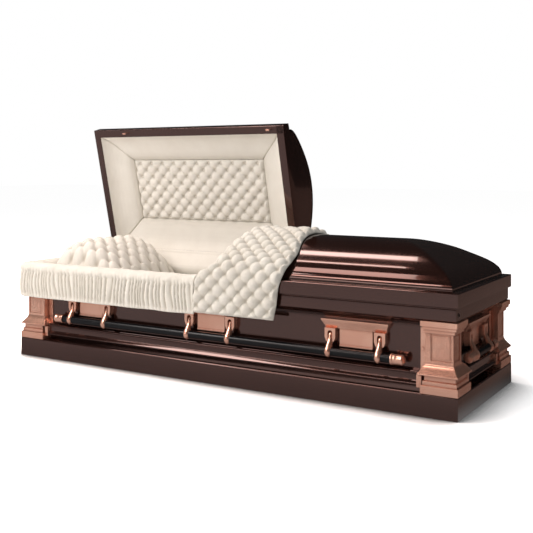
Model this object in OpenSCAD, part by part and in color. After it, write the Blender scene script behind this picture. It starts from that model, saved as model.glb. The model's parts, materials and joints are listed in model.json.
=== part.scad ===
// Full-size steel casket with a two-piece hinged lid, swing bar handles and fabric interior.
// X runs head (-) to foot (+), Y runs front (-) to hinge side (+), Z is up.
// The origin is at the centre of the underside.

/* [Overall] */
// Length over the base and the lid rim
case_len = 2140; // [1800:10:2500]
// Width over the base and the lid rim
case_wid = 670; // [560:10:820]
// Thickness of the steel sheet
sheet_t = 1.2; // [0.8:0.1:2]

/* [Base and body] */
// Height of the base skirt
skirt_h = 83; // [60:1:110]
// Height of the shadow slot above the skirt
slot_h = 20; // [12:1:30]
// Height of the lower moulding
low_mould_h = 49; // [40:1:60]
// Height of the line where lid and body part
parting_z = 393; // [360:1:480]
// How far the side panels stand back from the base
panel_inset = 54; // [46:1:70]
// Thickness of the floor sheet
floor_t = 1.5; // [1:0.1:3]

/* [Top moulding] */
// Height of the flat band under the lid
band_h = 47; // [36:1:56]
// How far that band stands back
band_inset = 10; // [6:1:16]
// Height of the cove under the band
cove_h = 35; // [26:1:36]

/* [Lids] */
// Height of the lid rim band
rim_h = 53; // [40:1:70]
// Rise of the ledge on top of the rim
ledge_rise = 3; // [1:0.5:6]
// Width of the flange under the rim
flange_w = 38; // [30:1:50]
// Gap left between a closed lid and the body
lid_gap = 0.4; // [0.2:0.1:1]
// Rise of the crown above the ledge
crown_rise = 154; // [120:2:220]
// Length of the sloping end of the crown
hip_run = 360; // [280:10:420]
// Place of the split between the two lids
split_x = 78; // [-200:1:200]
// Gap between the two lids
split_gap = 3; // [2:0.5:8]
// Angle at which the head lid stands open
open_deg = 76.6; // [40:0.1:80]

/* [Hinges] */
// Distance of the hinge line behind the lid rim
hinge_out = 14; // [12:0.5:20]
// Height of the hinge line above the parting line
hinge_up = 26; // [20:1:32]
// Length of each hinge
hinge_len = 120; // [80:5:160]
// Distance from a lid end to its first hinge
hinge_margin = 170; // [120:5:260]
// Radius of the hinge pin
hinge_pin_r = 2.5; // [2:0.1:3.5]
// Radius of the hinge barrel
barrel_r = 6; // [5:0.5:7]
// Radial running clearance of every pin
pin_clear = 0.05; // [0.02:0.01:0.1]

/* [Corner posts] */
// Size of the post block along the case
post_x = 140; // [120:1:160]
// Size of the post block across the case
post_y = 144; // [120:1:160]
// Height of the post block
block_h = 44; // [36:1:50]
// How far the shaft stands back from the base
shaft_inset = 24; // [18:1:30]
// Wall of the post casting
post_wall = 4; // [3:0.5:5]

/* [Handles] */
// Distance from a case end to the outer lug
lug_end_gap = 406; // [390:2:460]
// Shift of the three side lugs towards the head
lug_shift = 5; // [0:1:10]
// Distance from lug centre to each ear
ear_c = 102.5; // [90:0.5:106]
// Width of an ear
ear_w = 45; // [40:1:48]
// Height of the pivot line
pivot_z = 250; // [244:1:254]
// Distance of the pivot from the panel
pivot_d = 15; // [14:0.5:17]
// Height of the bar's axis
bar_z = 188; // [180:1:190]
// Distance of the bar's axis from the panel
bar_d = 33; // [30:1:36]
// Radius of the bar
bar_r = 16; // [12:0.5:18]
// Radius of the bar's tip
tip_r = 19; // [16:0.5:20]
// Length of the bar's tip
tip_len = 53; // [40:1:60]
// Distance from a case end to the end of the side bar
bar_end_gap = 204; // [190:2:240]
// Distance from a case side to the end of the end bar
end_bar_gap = 168; // [160:2:180]
// Width of an arm in its ear
arm_w = 16; // [12:1:17]
// Radius of the pivot pin
pivot_r = 3; // [2.5:0.5:4]
// Swing of a handle
swing_deg = 65; // [40:1:70]

/* [Interior] */
// Thickness of the body lining
lining_t = 20; // [12:1:30]
// Height of the top of the mattress
bed_top = 255; // [220:1:290]
// Thickness of the mattress
bed_t = 95; // [60:1:120]
// Clearance between mattress and lining
bed_clear = 8; // [3:1:15]
// Length of the pillow
pillow_len = 495; // [380:5:560]
// Height of the pillow
pillow_h = 295; // [180:5:310]
// Width of the padded border in the lids
border_w = 140; // [110:5:150]
// Thickness of the padding in the lids
pad_t = 22; // [14:1:24]
// Depth of the lid panel above the parting line
pad_depth = 77; // [50:1:90]

/* [Cloth outside] */
// Thickness of the cloth roll's skirt
roll_t = 9; // [6:1:12]
// Stand-off of the cloth from the rim
roll_gap = 8; // [3:1:10]
// Width of the cloth roll on top of the rim
roll_w = 66; // [50:1:80]
// Height of the lower edge of the cloth roll
roll_z = 279; // [260:1:300]
// Height of the cloth roll above the parting line
roll_top = 48; // [30:1:60]
// Thickness of the quilted throw
throw_t = 13; // [8:1:18]
// Height of the throw's lower edge
throw_z = 288; // [270:1:310]
// Reach of the throw past the split, towards the head
throw_head = 127; // [60:1:160]
// Reach of the throw past the split, towards the foot
throw_foot = 250; // [150:1:320]

/* [Small parts] */
// Distance of a lid latch from the rim's outer face
latch_inset = 17; // [15:1:24]
// Radius of the lock's key socket
key_r = 6; // [4:0.5:8]
// Depth of the lock's key socket
key_depth = 18; // [10:1:25]

/* [Hidden] */
$fn = 48;
hl = case_len / 2;
hw = case_wid / 2;
mould_z = skirt_h + slot_h;
mould_top = mould_z + low_mould_h;
band_z = parting_z - band_h;
cove_z = band_z - cove_h;
rim_top = parting_z + rim_h;
ledge_z = rim_top + ledge_rise;
hinge_y = hw + hinge_out;
hinge_z = parting_z + hinge_up;
head_end = split_x - split_gap / 2;
foot_end = split_x + split_gap / 2;
shaft_z = mould_top + 36;
cap_z = band_z - 48;
lug_pitch = hl - lug_end_gap;
bar_half = hl - bar_end_gap;
end_bar_half = hw - end_bar_gap;
end_ear_c = end_bar_half - tip_len - 26;
panel_x = hl - panel_inset;
panel_y = hw - panel_inset;
inner_x = panel_x - sheet_t;
inner_y = panel_y - sheet_t;
room_x = inner_x - lining_t;
room_y = inner_y - lining_t;
panel_z = parting_z + pad_depth;
paint = "#4a3330";
copper = "#b4705c";
cream = "#e6dccc";

// Offset of an open path to its left by t, with mitred corners
function unit(v) = v / norm(v);
function left(v) = [-v[1], v[0]];
function seg(p, i) = left(unit(p[i + 1] - p[i]));
function mitre(a, b) = (a + b) * 2 / ((a + b) * (a + b));
function off_pt(p, i, t) =
    i == 0 ? p[0] + t * seg(p, 0)
    : i == len(p) - 1 ? p[i] + t * seg(p, i - 1)
    : p[i] + t * mitre(seg(p, i - 1), seg(p, i));
function off_path(p, t) = [for (i = [0:len(p) - 1]) off_pt(p, i, t)];
function flip(p) = [for (i = [len(p) - 1:-1:0]) p[i]];
function sheet(p, t) = concat(p, flip(off_path(p, t)));

// Half profile of the crown, from its foot on the ledge to the ridge: [distance in, height]
crown_foot = [[30, 0], [32, 11], [36, 21], [40, 29], [45, 37], [52, 44], [60, 51], [70, 57]];
function dome(f) = 57 + (crown_rise - 57) * sin(90 * pow(f, 0.88));
function crown_half(run, n = 14) = [
    for (p = crown_foot) [p[0], ledge_z + p[1]],
    for (i = [1:n]) [70 + (run - 70) * i / n, ledge_z + dome(i / n)]
];
function across(p) = concat(
    [for (q = p) [q[0] - hw, q[1]]],
    [for (i = [len(p) - 2:-1:0]) [hw - p[i][0], p[i][1]]]
);
function open_down(p, dz) = concat([[p[0][0], dz]], p, [[p[len(p) - 1][0], dz]]);

// A profile given as [distance in, height], run along X with its outer face at y = 0.
// m0 and m1 mitre its two ends.
module side(profile, a0, a1, m0, m1, k = 200, m = 40) {
    s0 = m0 ? a0 - m : a0;
    s1 = m1 ? a1 + m : a1;
    e0 = m0 ? a0 + k : a0;
    e1 = m1 ? a1 - k : a1;
    intersection() {
        translate([s0, 0, 0])
            rotate([90, 0, 90])
            linear_extrude(s1 - s0) polygon(profile);
        translate([0, 0, -20])
            linear_extrude(1600)
            polygon([[s0, -m], [s1, -m], [e1, k], [e0, k]]);
    }
}

// Closed mitred ring around the case
module ring(profile, k = 200) {
    for (s = [0, 1]) mirror([0, s, 0])
        translate([0, -hw, 0]) side(profile, -hl, hl, true, true, k);
    for (s = [0, 1]) mirror([s, 0, 0])
        translate([hl, 0, 0]) rotate([0, 0, 90]) side(profile, -hw, hw, true, true, k);
}

// Copies a part made for the front foot corner, the front or the foot end
module at_head() { mirror([1, 0, 0]) children(); }
module at_back() { mirror([0, 1, 0]) children(); }
module opened() {
    translate([0, hinge_y, hinge_z])
        rotate([-open_deg, 0, 0])
        translate([0, -hinge_y, -hinge_z]) children();
}

// ---------- base and body ----------
module floor_pan() {
    color(paint) translate([0, 0, floor_t / 2])
        cube([case_len - 2 * sheet_t, case_wid - 2 * sheet_t, floor_t], center = true);
}

module base_skirt() {
    p = [[0, 0], [0, skirt_h - 5], [1.5, skirt_h - 1.5], [5, skirt_h],
        [panel_inset + sheet_t + 1, skirt_h]];
    color(paint) ring(sheet(p, -sheet_t));
}

module lower_moulding() {
    p = [[panel_inset - 0.1, mould_z + 1], [21, mould_z], [17, mould_z + 4], [17, mould_z + 10],
        [20, mould_z + 16], [27, mould_top - 5], [31, mould_top], [panel_inset - 0.5, mould_top + 8]];
    color(paint) difference() {
        ring(sheet(p, -sheet_t));
        for (sx = [-1, 1], sy = [-1, 1])
            translate([sx * hl, sy * hw, mould_z + 30])
            cube([2 * (post_x + 19.5), 2 * (post_y + 19.5), 120], center = true);
    }
}

module body_shell() {
    color(paint) translate([0, 0, skirt_h])
        linear_extrude(parting_z - sheet_t - skirt_h) difference() {
            square([2 * panel_x, 2 * panel_y], center = true);
            square([2 * inner_x, 2 * inner_y], center = true);
        }
}

module top_moulding() {
    b = band_inset;
    pi = panel_inset;
    p = [[pi - 0.6, cove_z], [pi - 4, cove_z + 2], [pi - 4, cove_z + 6], [pi - 8, cove_z + 8],
        [b + 26, cove_z + 13], [b + 15, cove_z + 20], [b + 6, band_z - 6], [b, band_z],
        [b, parting_z], [pi + sheet_t + 1, parting_z]];
    color(paint) difference() {
        ring(sheet(p, -sheet_t));
        for (sx = [-1, 1], sy = [-1, 1])
            translate([sx * hl, sy * hw, band_z - 54])
            cube([2 * 143, 2 * 123, 100], center = true);
        for (x = latch_places)
            translate([x, latch_inset - hw, parting_z])
            cube([30, 12, 8], center = true);
        translate([hl - band_inset - 10, socket_y, socket_z])
            rotate([0, 90, 0]) cylinder(r = key_r + 2 + pin_clear, h = 20);
    }
}

socket_y = 40 - hw;
socket_z = parting_z - 28;
latch_places = [-hl + 215, head_end - 76];

module lock_socket() {
    color("silver") translate([hl - band_inset - key_depth - 1, socket_y, socket_z])
        rotate([0, 90, 0]) difference() {
            cylinder(r = key_r + 2, h = key_depth + 3);
            translate([0, 0, 2]) cylinder(r = key_r, h = key_depth + 3);
        }
}

// ---------- corner posts, made for the front foot corner ----------
// [height, outer inset, inner distance along, inner distance across]
post_low = [[skirt_h, 0, 0], [skirt_h + 29, 0, 0], [skirt_h + 29, 6, -6],
    [skirt_h + block_h, 6, -6], [skirt_h + block_h + 3, 12, -12],
    [mould_top - 7, 12, -12], [mould_top - 4, 0, 12], [mould_top, 0, 12],
    [mould_top + 12, 10, 3], [mould_top + 24, 19, -6], [shaft_z, shaft_inset, -12]];
post_high = [[cap_z, shaft_inset, -12], [cap_z, 16, -8], [cap_z + 13, 16, -8],
    [cap_z + 13, 8, -4], [cap_z + 24, 8, -4], [cap_z + 24, 3, 0], [band_z - 5, 3, 0]];
function post_poly(size, less) = concat(
    [for (q = concat(post_low, post_high)) [q[1], q[0]]],
    flip(concat([for (q = post_low) [size + q[2] - (q[0] >= shaft_z ? less : 0), q[0]]],
        [for (q = post_high) [size + q[2] - less, q[0]]]))
);

module post_panel(w) {
    difference() {
        translate([-w / 2 - 6, -3, shaft_z + 10]) cube([w + 12, 3.5, cap_z - shaft_z - 14]);
        translate([-w / 2, -1, shaft_z + 18]) cube([w, 3, cap_z - shaft_z - 28]);
    }
}

module post(size_x = post_x, size_y = post_y) {
    wx = size_x - 12 - shaft_inset;
    wy = size_y - 36 - shaft_inset;
    color(copper) translate([hl, -hw, 0]) {
        difference() {
            intersection() {
                rotate([90, 0, 0]) mirror([1, 0, 0]) translate([0, 0, -400])
                    linear_extrude(800) polygon(post_poly(size_x, 0));
                rotate([90, 0, 90]) translate([0, 0, -400])
                    linear_extrude(800) polygon(post_poly(size_y, 24));
            }
            translate([-400 - panel_inset, panel_inset, 0]) cube([400, 400, 600]);
            translate([-size_x + 12 + post_wall, shaft_inset + post_wall, skirt_h - 1])
                cube([wx - 2 * post_wall, wy - 2 * post_wall, band_z - 5 - post_wall - skirt_h + 1]);
            translate([-size_x + post_wall, post_wall, skirt_h - 1])
                cube([size_x - 2 * post_wall, size_y - 2 * post_wall, 26]);
            translate([-shaft_inset - wx / 2 + 6, shaft_inset + 2.5, 0]) post_panel(wx - 40);
            translate([-shaft_inset - 2.5, shaft_inset + wy / 2 - 4, 0])
                rotate([0, 0, 90]) post_panel(wy - 34);
        }
        // End flanges against the moulding and the panels
        translate([-size_x - 19, 14, mould_z - 4]) cube([19, panel_inset - 14, 45]);
        translate([-panel_inset, size_y, mould_z - 4]) cube([panel_inset - 14, 19, 45]);
        translate([-size_x - 16, panel_inset - 4, mould_top]) cube([28, 4, cove_z - mould_top - 3]);
        translate([-panel_inset, size_y - 36, mould_top]) cube([4, 28, cove_z - mould_top - 3]);
        translate([-size_x - 8, panel_inset, bar_z + 44]) rotate([90, 0, 0]) cylinder(r = 6, h = 7);
        translate([-panel_inset, size_y - 16, bar_z + 44]) rotate([0, 90, 0]) cylinder(r = 6, h = 7);
    }
}

// ---------- handle lugs, made at x = 0 against a panel on y = 0, facing -Y ----------
module lug(half_top, half_low, ec, ph) {
    z0 = cove_z - 36;
    z1 = cove_z - 1;
    color(copper) {
        intersection() {
            translate([-400, 0, 0]) rotate([90, 0, 90]) linear_extrude(800)
                polygon([[0, z0], [-14, z0], [-17, z0 + 9], [-24, z0 + 22], [-29, z1 - 5],
                    [-29, z1], [0, z1]]);
            translate([0, 1, 0]) rotate([90, 0, 0]) linear_extrude(60)
                polygon([[-half_low, z0], [half_low, z0], [half_low + 2, z0 + 9],
                    [half_top - 4, z0 + 22], [half_top, z1 - 5], [half_top, z1],
                    [-half_top, z1], [-half_top, z1 - 5], [4 - half_top, z0 + 22],
                    [-half_low - 2, z0 + 9]]);
        }
        translate([-ph, -9, pivot_z - 43]) cube([2 * ph, 9, z0 - pivot_z + 43]);
        translate([-ph, -12, pivot_z - 43]) cube([2 * ph, 12, 6]);
        for (s = [-1, 1]) translate([s * ec, 0, 0]) {
            difference() {
                translate([0, 0, 0]) rotate([90, 0, 0]) linear_extrude(pivot_d + 9)
                    polygon([[-ear_w / 2, z0], [ear_w / 2, z0], [ear_w / 2, pivot_z - 10],
                        [ear_w / 2 - 6, pivot_z - 25], [0, pivot_z - 34],
                        [6 - ear_w / 2, pivot_z - 25], [-ear_w / 2, pivot_z - 10]]);
                translate([-arm_w / 2 - 2, -pivot_d - 20, pivot_z - 60])
                    cube([arm_w + 4, pivot_d + 17, 66]);
                translate([0, -3, pivot_z + 6]) rotate([90, 0, 0])
                    cylinder(r = arm_w / 2 + 2, h = pivot_d + 20);
            }
            translate([-arm_w / 2 - 6, -pivot_d, pivot_z]) rotate([0, 90, 0])
                cylinder(r = pivot_r, h = arm_w + 12);
        }
    }
}

module side_lug(n) {
    translate([n * lug_pitch - lug_shift, -panel_y, 0]) lug(ear_c + 36, ear_c + 23, ear_c, 68);
}

module end_lug() {
    translate([panel_x, 0, 0]) rotate([0, 0, 90])
        lug(end_ear_c + 40, end_ear_c + 28, end_ear_c, max(10, end_ear_c - 48));
}

// ---------- handles, in the same frame as the lugs ----------
module bar(half) {
    color("#1c1b1c") translate([-half + tip_len, -bar_d, bar_z]) rotate([0, 90, 0])
        cylinder(r = bar_r, h = 2 * (half - tip_len));
    color(copper) for (s = [0, 1]) mirror([s, 0, 0])
        translate([half - tip_len, -bar_d, bar_z]) rotate([0, 90, 0]) {
            cylinder(r = tip_r + 2, h = 7);
            cylinder(r = tip_r, h = tip_len - 4);
            cylinder(r = tip_r - 3, h = tip_len);
        }
}

module arm() {
    d = [-(bar_d - pivot_d), bar_z - pivot_z];
    n = left(unit(d));
    a = [-pivot_d, pivot_z];
    b = [-bar_d, bar_z];
    color(copper) difference() {
        union() {
            translate([-arm_w / 2, a[0], a[1]]) rotate([0, 90, 0]) cylinder(r = 9, h = arm_w);
            translate([-arm_w / 2, 0, 0]) rotate([90, 0, 90]) linear_extrude(arm_w)
                polygon([a + 9 * n, a - 9 * n, b - 14 * n, b + 14 * n]);
            translate([-13, b[0], b[1]]) rotate([0, 90, 0]) cylinder(r = bar_r + 5, h = 26);
        }
        translate([-30, a[0], a[1]]) rotate([0, 90, 0])
            cylinder(r = pivot_r + pin_clear, h = 60);
        translate([-30, b[0], b[1]]) rotate([0, 90, 0]) cylinder(r = bar_r, h = 60);
    }
}

// Arms are numbered from the head end
function arm_x(i) = (floor((i - 1) / 2) - 1) * lug_pitch - lug_shift
    + (i % 2 == 1 ? -ear_c : ear_c);
module side_arm(i) { translate([arm_x(i), -panel_y, 0]) arm(); }
module side_bar() { translate([0, -panel_y, 0]) bar(bar_half); }
module end_arm(s) {
    translate([panel_x, 0, 0]) rotate([0, 0, 90]) translate([s * end_ear_c, 0, 0]) arm();
}
module end_bar() { translate([panel_x, 0, 0]) rotate([0, 0, 90]) bar(end_bar_half); }

// ---------- hinges ----------
function hinge_places(x0, x1) = [for (i = [0:2])
    x0 + hinge_margin + (x1 - x0 - 2 * hinge_margin) * i / 2];

module body_leaves(x0, x1) {
    y0 = hw - band_inset;
    k = hinge_len / 2;
    color("#8a8078") for (x = hinge_places(x0, x1)) translate([x, 0, 0]) {
        difference() {
            union() {
                translate([-k, y0, parting_z - 40]) cube([hinge_len, 3, 36]);
                translate([-k, y0, parting_z - 7]) cube([hinge_len, hinge_y - y0 - 3, 3]);
                translate([-k, hinge_y - barrel_r, parting_z - 7])
                    cube([hinge_len, 3, hinge_up + 7]);
                translate([-k, hinge_y, hinge_z]) rotate([0, 90, 0])
                    cylinder(r = barrel_r, h = hinge_len);
            }
            translate([-k / 3 - 0.3, hinge_y - 20, hinge_z - barrel_r - 2])
                cube([2 * k / 3 + 0.6, 40, 40]);
        }
        translate([-k, hinge_y, hinge_z]) rotate([0, 90, 0])
            cylinder(r = hinge_pin_r, h = hinge_len);
    }
}

module lid_leaves(x0, x1) {
    k = hinge_len / 2;
    color("#8a8078") for (x = hinge_places(x0, x1)) translate([x, 0, 0])
        difference() {
            union() {
                translate([-k, hw, hinge_z + barrel_r]) cube([hinge_len, 3, rim_top - hinge_z - 8]);
                translate([-k / 3, hw, hinge_z - 2]) cube([2 * k / 3, 3, 10]);
                translate([-k / 3, hw, hinge_z - 2]) cube([2 * k / 3, hinge_out, 4]);
                translate([-k / 3, hinge_y, hinge_z]) rotate([0, 90, 0])
                    cylinder(r = barrel_r, h = 2 * k / 3);
            }
            translate([-k, hinge_y, hinge_z]) rotate([0, 90, 0])
                cylinder(r = hinge_pin_r + pin_clear, h = hinge_len);
        }
}

// ---------- lids: made closed, with their outer end at x = xo and split end at x = xs > xo ----------
function rim_path() = [[flange_w, parting_z + 10], [flange_w, parting_z + lid_gap],
    [0, parting_z + lid_gap], [0, rim_top], [26, ledge_z], [flange_w + 4, ledge_z]];

module rim(xo, xs) {
    pr = sheet(rim_path(), -sheet_t);
    cross = sheet([[flange_w, parting_z + 10], [flange_w, parting_z + lid_gap],
        [0, parting_z + lid_gap], [0, rim_top]], -sheet_t);
    color(paint) {
        for (s = [0, 1]) mirror([0, s, 0])
            translate([0, -hw, 0]) side(pr, xo, xs, true, false, 120);
        translate([xo, 0, 0]) rotate([0, 0, -90]) side(pr, -hw, hw, true, true, 120);
        translate([xs, 0, 0]) rotate([0, 0, 90]) side(cross, -hw, hw, false, false, 120);
    }
}

module crown_solid(xo, xs, t, dz) {
    cs = off_path(across(crown_half(hw)), -t);
    es = concat(off_path(crown_half(hip_run), -t), [[xs - xo + 50, ledge_z + crown_rise - t]]);
    intersection() {
        translate([xo, 0, 0]) rotate([90, 0, 90]) linear_extrude(xs - xo + (t > 0 ? 20 : 0))
            polygon(open_down(cs, dz));
        translate([xo, 0, 0]) rotate([90, 0, 0]) translate([0, 0, -hw]) linear_extrude(2 * hw)
            polygon(concat(open_down(es, dz)));
    }
}

module crown(xo, xs) {
    color(paint) difference() {
        crown_solid(xo, xs, 0, ledge_z);
        crown_solid(xo, xs, sheet_t, ledge_z - 10);
    }
}

module header(xs) {
    cs = off_path(across(crown_half(hw)), -sheet_t);
    e = flange_w + 4.5;
    color(paint) translate([xs - 2.5 - sheet_t, 0, 0]) rotate([90, 0, 90])
        linear_extrude(sheet_t)
        polygon(concat([[e - hw, parting_z + 2], [e - hw, ledge_z]], cs,
            [[hw - e, ledge_z], [hw - e, parting_z + 2]]));
}

// Padded border: [distance in from the flange, height]
function border_path() = [[flange_w, parting_z + 4], [flange_w + 8, parting_z + 20],
    [flange_w + 25, parting_z + 0.52 * pad_depth], [flange_w + 55, parting_z + 0.75 * pad_depth],
    [flange_w + 95, parting_z + 0.9 * pad_depth], [flange_w + border_w, panel_z]];
function lid_pad() = concat(border_path(), [[flange_w + border_w, panel_z + pad_t],
    [flange_w + 55, parting_z + 0.75 * pad_depth + pad_t],
    [flange_w + 25, parting_z + 0.52 * pad_depth + pad_t], [flange_w, parting_z + 32]]);

module border(xo, xs) {
    color(cream) {
        for (s = [0, 1]) mirror([0, s, 0])
            translate([0, -hw, 0]) side(lid_pad(), xo, xs, true, true, 250);
        translate([xo, 0, 0]) rotate([0, 0, -90]) side(lid_pad(), -hw, hw, true, true, 250);
        translate([xs, 0, 0]) rotate([0, 0, 90]) side(lid_pad(), -hw, hw, true, true, 250);
    }
}

module pad_panel(xo, xs) {
    e = flange_w + border_w;
    color(cream) translate([xo + e, e - hw, panel_z])
        cube([xs - xo - 2 * e, case_wid - 2 * e, pad_t]);
}

module latches() {
    color(copper) for (x = latch_places) translate([x - 9, latch_inset - hw - 3, 0]) {
        translate([0, 0, parting_z - 16]) cube([18, 4, 16]);
        translate([0, 0, parting_z - 16]) cube([18, 7, 4]);
    }
}

// ---------- interior ----------
module bed_frame() {
    rx = room_x - 20;
    ry = room_y - 20;
    z1 = bed_top - bed_t;
    color("gray") {
        translate([0, 0, z1 - 25]) linear_extrude(25) difference() {
            square([2 * rx, 2 * ry], center = true);
            square([2 * rx - 6, 2 * ry - 6], center = true);
        }
        for (i = [-4:4]) translate([i * (rx - 40) / 4 - 20, 1 - ry, z1 - 3])
            cube([40, 2 * ry - 2, 3]);
        for (sx = [-1, 1], sy = [-1, 1])
            translate([sx * (rx - 15) - 12, sy * (ry - 15) - 12, floor_t])
            cube([24, 24, z1 - floor_t - 3]);
    }
}

module mattress() {
    color(cream) translate([0, 0, bed_top - bed_t / 2])
        cube([2 * (room_x - bed_clear), 2 * (room_y - bed_clear), bed_t], center = true);
}

module body_lining() {
    color(cream) translate([0, 0, skirt_h + 5])
        linear_extrude(parting_z - sheet_t - skirt_h - 6) difference() {
            square([2 * inner_x, 2 * inner_y], center = true);
            square([2 * room_x, 2 * room_y], center = true);
        }
}

module pillow() {
    r = 85;
    rz = r * cos(9);
    x0 = -room_x + bed_clear + r;
    y0 = room_y - bed_clear - r;
    color(cream) hull()
        for (x = [x0, x0 + pillow_len - 2 * r], y = [-y0, y0], z = [rz, pillow_h - rz])
            translate([x, y, bed_top + z]) sphere(r = r, $fn = 20);
}

module extendover() {
    o = -roll_gap - roll_t;
    t = parting_z + roll_top;
    p = [[o, roll_z], [o, t - 36], [o + 5, t - 16], [o + 17, t - 5], [o + 37, t],
        [roll_w - 26, t - 1], [roll_w - 8, t - 11], [roll_w, t - 26],
        [roll_w, parting_z + 1], [-roll_gap, parting_z + 1], [-roll_gap, roll_z]];
    color(cream) {
        translate([0, -hw, 0])
            side(p, -hl, foot_end - throw_head - 4, true, false);
        translate([-hl, 0, 0]) rotate([0, 0, -90])
            side(p, -(hw - 50), hw, false, true);
    }
}

// The apron's upper edge is at the open lid's inner frame edge
apron_dy = -(hinge_out + flange_w + 4);
apron_top = [hinge_y + apron_dy * cos(open_deg) - hinge_up * sin(open_deg),
    hinge_z - apron_dy * sin(open_deg) - hinge_up * cos(open_deg)];

module hinge_apron() {
    p = [[room_y - 5, parting_z - 55], [room_y - 5, parting_z - 8],
        [room_y + 6, parting_z + 8], apron_top - [6, 14], apron_top - [3.5, 1]];
    color(cream) translate([2 - room_x, 0, 0]) rotate([90, 0, 90])
        linear_extrude(head_end - flange_w - 20 + room_x - 2) polygon(sheet(p, 3));
}

module throw() {
    g = 0.8;
    half = crown_half(hw);
    d = [for (q = half) if (q[0] > 85) [q[0], q[1] + g]];
    front = concat([[-g, throw_z], [-g, rim_top + 2], [6, rim_top + 26], [26, ledge_z + 51],
        [58, ledge_z + 66]], d);
    back = concat(flip([for (q = d) if (q[0] < hw - 1) q]), [[58, ledge_z + 66], [40, ledge_z + 58]]);
    path = concat([for (q = front) [q[0] - hw, q[1]]], [for (q = back) [hw - q[0], q[1]]]);
    x0 = foot_end - throw_head;
    x1 = foot_end + throw_foot;
    zt = ledge_z + crown_rise + 60;
    color(cream) difference() {
        intersection() {
            translate([x0 - 10, 0, 0]) rotate([90, 0, 90])
                linear_extrude(x1 - x0 + 90) polygon(sheet(path, throw_t));
            translate([0, hw, 0]) rotate([90, 0, 0]) linear_extrude(case_wid + 80)
                polygon([[x0, throw_z - 5], [x1 - 3, throw_z - 5], [x1 + 20, ledge_z - 34],
                    [x1 + 56, ledge_z + 60], [x1 + 18, ledge_z + 100], [x1, zt], [x0 + 90, zt],
                    [x0 + 42, ledge_z + 34], [x0 + 21, ledge_z - 30]]);
        }
        translate([x0 - 10, hw - 90, rim_top]) cube([foot_end - x0 + 12, 120, 300]);
    }
}

// ---------- the pieces ----------
floor_pan();
base_skirt();
lower_moulding();
body_shell();
top_moulding();
post();  // post_foot_front
at_back() post();  // post_foot_back
at_head() post();  // post_head_front
at_head() at_back() post();  // post_head_back
side_lug(-1);  // lug_front_head
side_lug(0);  // lug_front_middle
side_lug(1);  // lug_front_foot
at_back() side_lug(-1);  // lug_back_head
at_back() side_lug(0);  // lug_back_middle
at_back() side_lug(1);  // lug_back_foot
end_lug();  // lug_foot_end
at_head() end_lug();  // lug_head_end
body_leaves(-hl, head_end);  // head_hinge_body_leaves
body_leaves(foot_end, hl);  // foot_hinge_body_leaves
lock_socket();
bed_frame();
mattress();
body_lining();
pillow();
extendover();
hinge_apron();
opened() rim(-hl, head_end);  // head_lid_rim
opened() crown(-hl, head_end);  // head_lid_crown
opened() header(head_end);  // head_lid_header
opened() border(-hl, head_end);  // head_lid_border
opened() pad_panel(-hl, head_end);  // head_lid_panel
opened() latches();  // head_lid_latches
opened() lid_leaves(-hl, head_end);  // head_hinge_lid_leaves
at_head() rim(-hl, -foot_end);  // foot_lid_rim
at_head() crown(-hl, -foot_end);  // foot_lid_crown
at_head() header(-foot_end);  // foot_lid_header
union() {  // foot_lid_lining
    at_head() border(-hl, -foot_end);
    at_head() pad_panel(-hl, -foot_end);
}
lid_leaves(foot_end, hl);  // foot_hinge_lid_leaves
throw();
side_bar();  // front_bar
side_arm(1);  // front_arm_1
side_arm(2);  // front_arm_2
side_arm(3);  // front_arm_3
side_arm(4);  // front_arm_4
side_arm(5);  // front_arm_5
side_arm(6);  // front_arm_6
at_back() side_bar();  // back_bar
at_back() side_arm(1);  // back_arm_1
at_back() side_arm(2);  // back_arm_2
at_back() side_arm(3);  // back_arm_3
at_back() side_arm(4);  // back_arm_4
at_back() side_arm(5);  // back_arm_5
at_back() side_arm(6);  // back_arm_6
end_bar();  // foot_bar
end_arm(-1);  // foot_arm_1
end_arm(1);  // foot_arm_2
at_head() end_bar();  // head_bar
at_head() end_arm(-1);  // head_arm_1
at_head() end_arm(1);  // head_arm_2
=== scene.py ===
import json
import math

import bmesh
import bpy
import numpy as np
from mathutils import Matrix, Vector


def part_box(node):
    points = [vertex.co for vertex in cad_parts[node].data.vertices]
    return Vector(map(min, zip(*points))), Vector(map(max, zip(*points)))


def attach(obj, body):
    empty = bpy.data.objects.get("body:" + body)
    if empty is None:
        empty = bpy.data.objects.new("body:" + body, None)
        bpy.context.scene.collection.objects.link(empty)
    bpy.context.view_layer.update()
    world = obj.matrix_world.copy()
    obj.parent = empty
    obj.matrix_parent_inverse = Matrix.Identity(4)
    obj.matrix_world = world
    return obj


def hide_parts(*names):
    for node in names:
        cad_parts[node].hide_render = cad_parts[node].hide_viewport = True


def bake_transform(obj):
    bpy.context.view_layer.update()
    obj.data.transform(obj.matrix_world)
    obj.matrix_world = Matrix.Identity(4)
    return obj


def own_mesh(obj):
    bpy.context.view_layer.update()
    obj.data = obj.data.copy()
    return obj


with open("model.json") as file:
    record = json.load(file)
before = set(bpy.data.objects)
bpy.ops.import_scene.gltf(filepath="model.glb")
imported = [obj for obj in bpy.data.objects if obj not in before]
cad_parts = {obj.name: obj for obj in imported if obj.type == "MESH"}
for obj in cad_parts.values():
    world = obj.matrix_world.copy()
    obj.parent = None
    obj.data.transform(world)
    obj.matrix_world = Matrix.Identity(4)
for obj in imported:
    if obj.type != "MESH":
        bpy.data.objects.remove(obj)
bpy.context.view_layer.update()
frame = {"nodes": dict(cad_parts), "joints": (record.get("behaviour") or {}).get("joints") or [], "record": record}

# ---------------------------------------------------------------- Base skirt and floor sheet
# The casket stands on a deep skirt of brown lacquered steel with a rolled upper edge.
# The sheet is folded to its section and mitred at the four corners.

skirt_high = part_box("base_skirt")[1]
HALF_L = skirt_high.x
HALF_W = skirt_high.y
SKIRT_H = skirt_high.z
SHEET = 0.0012


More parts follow.
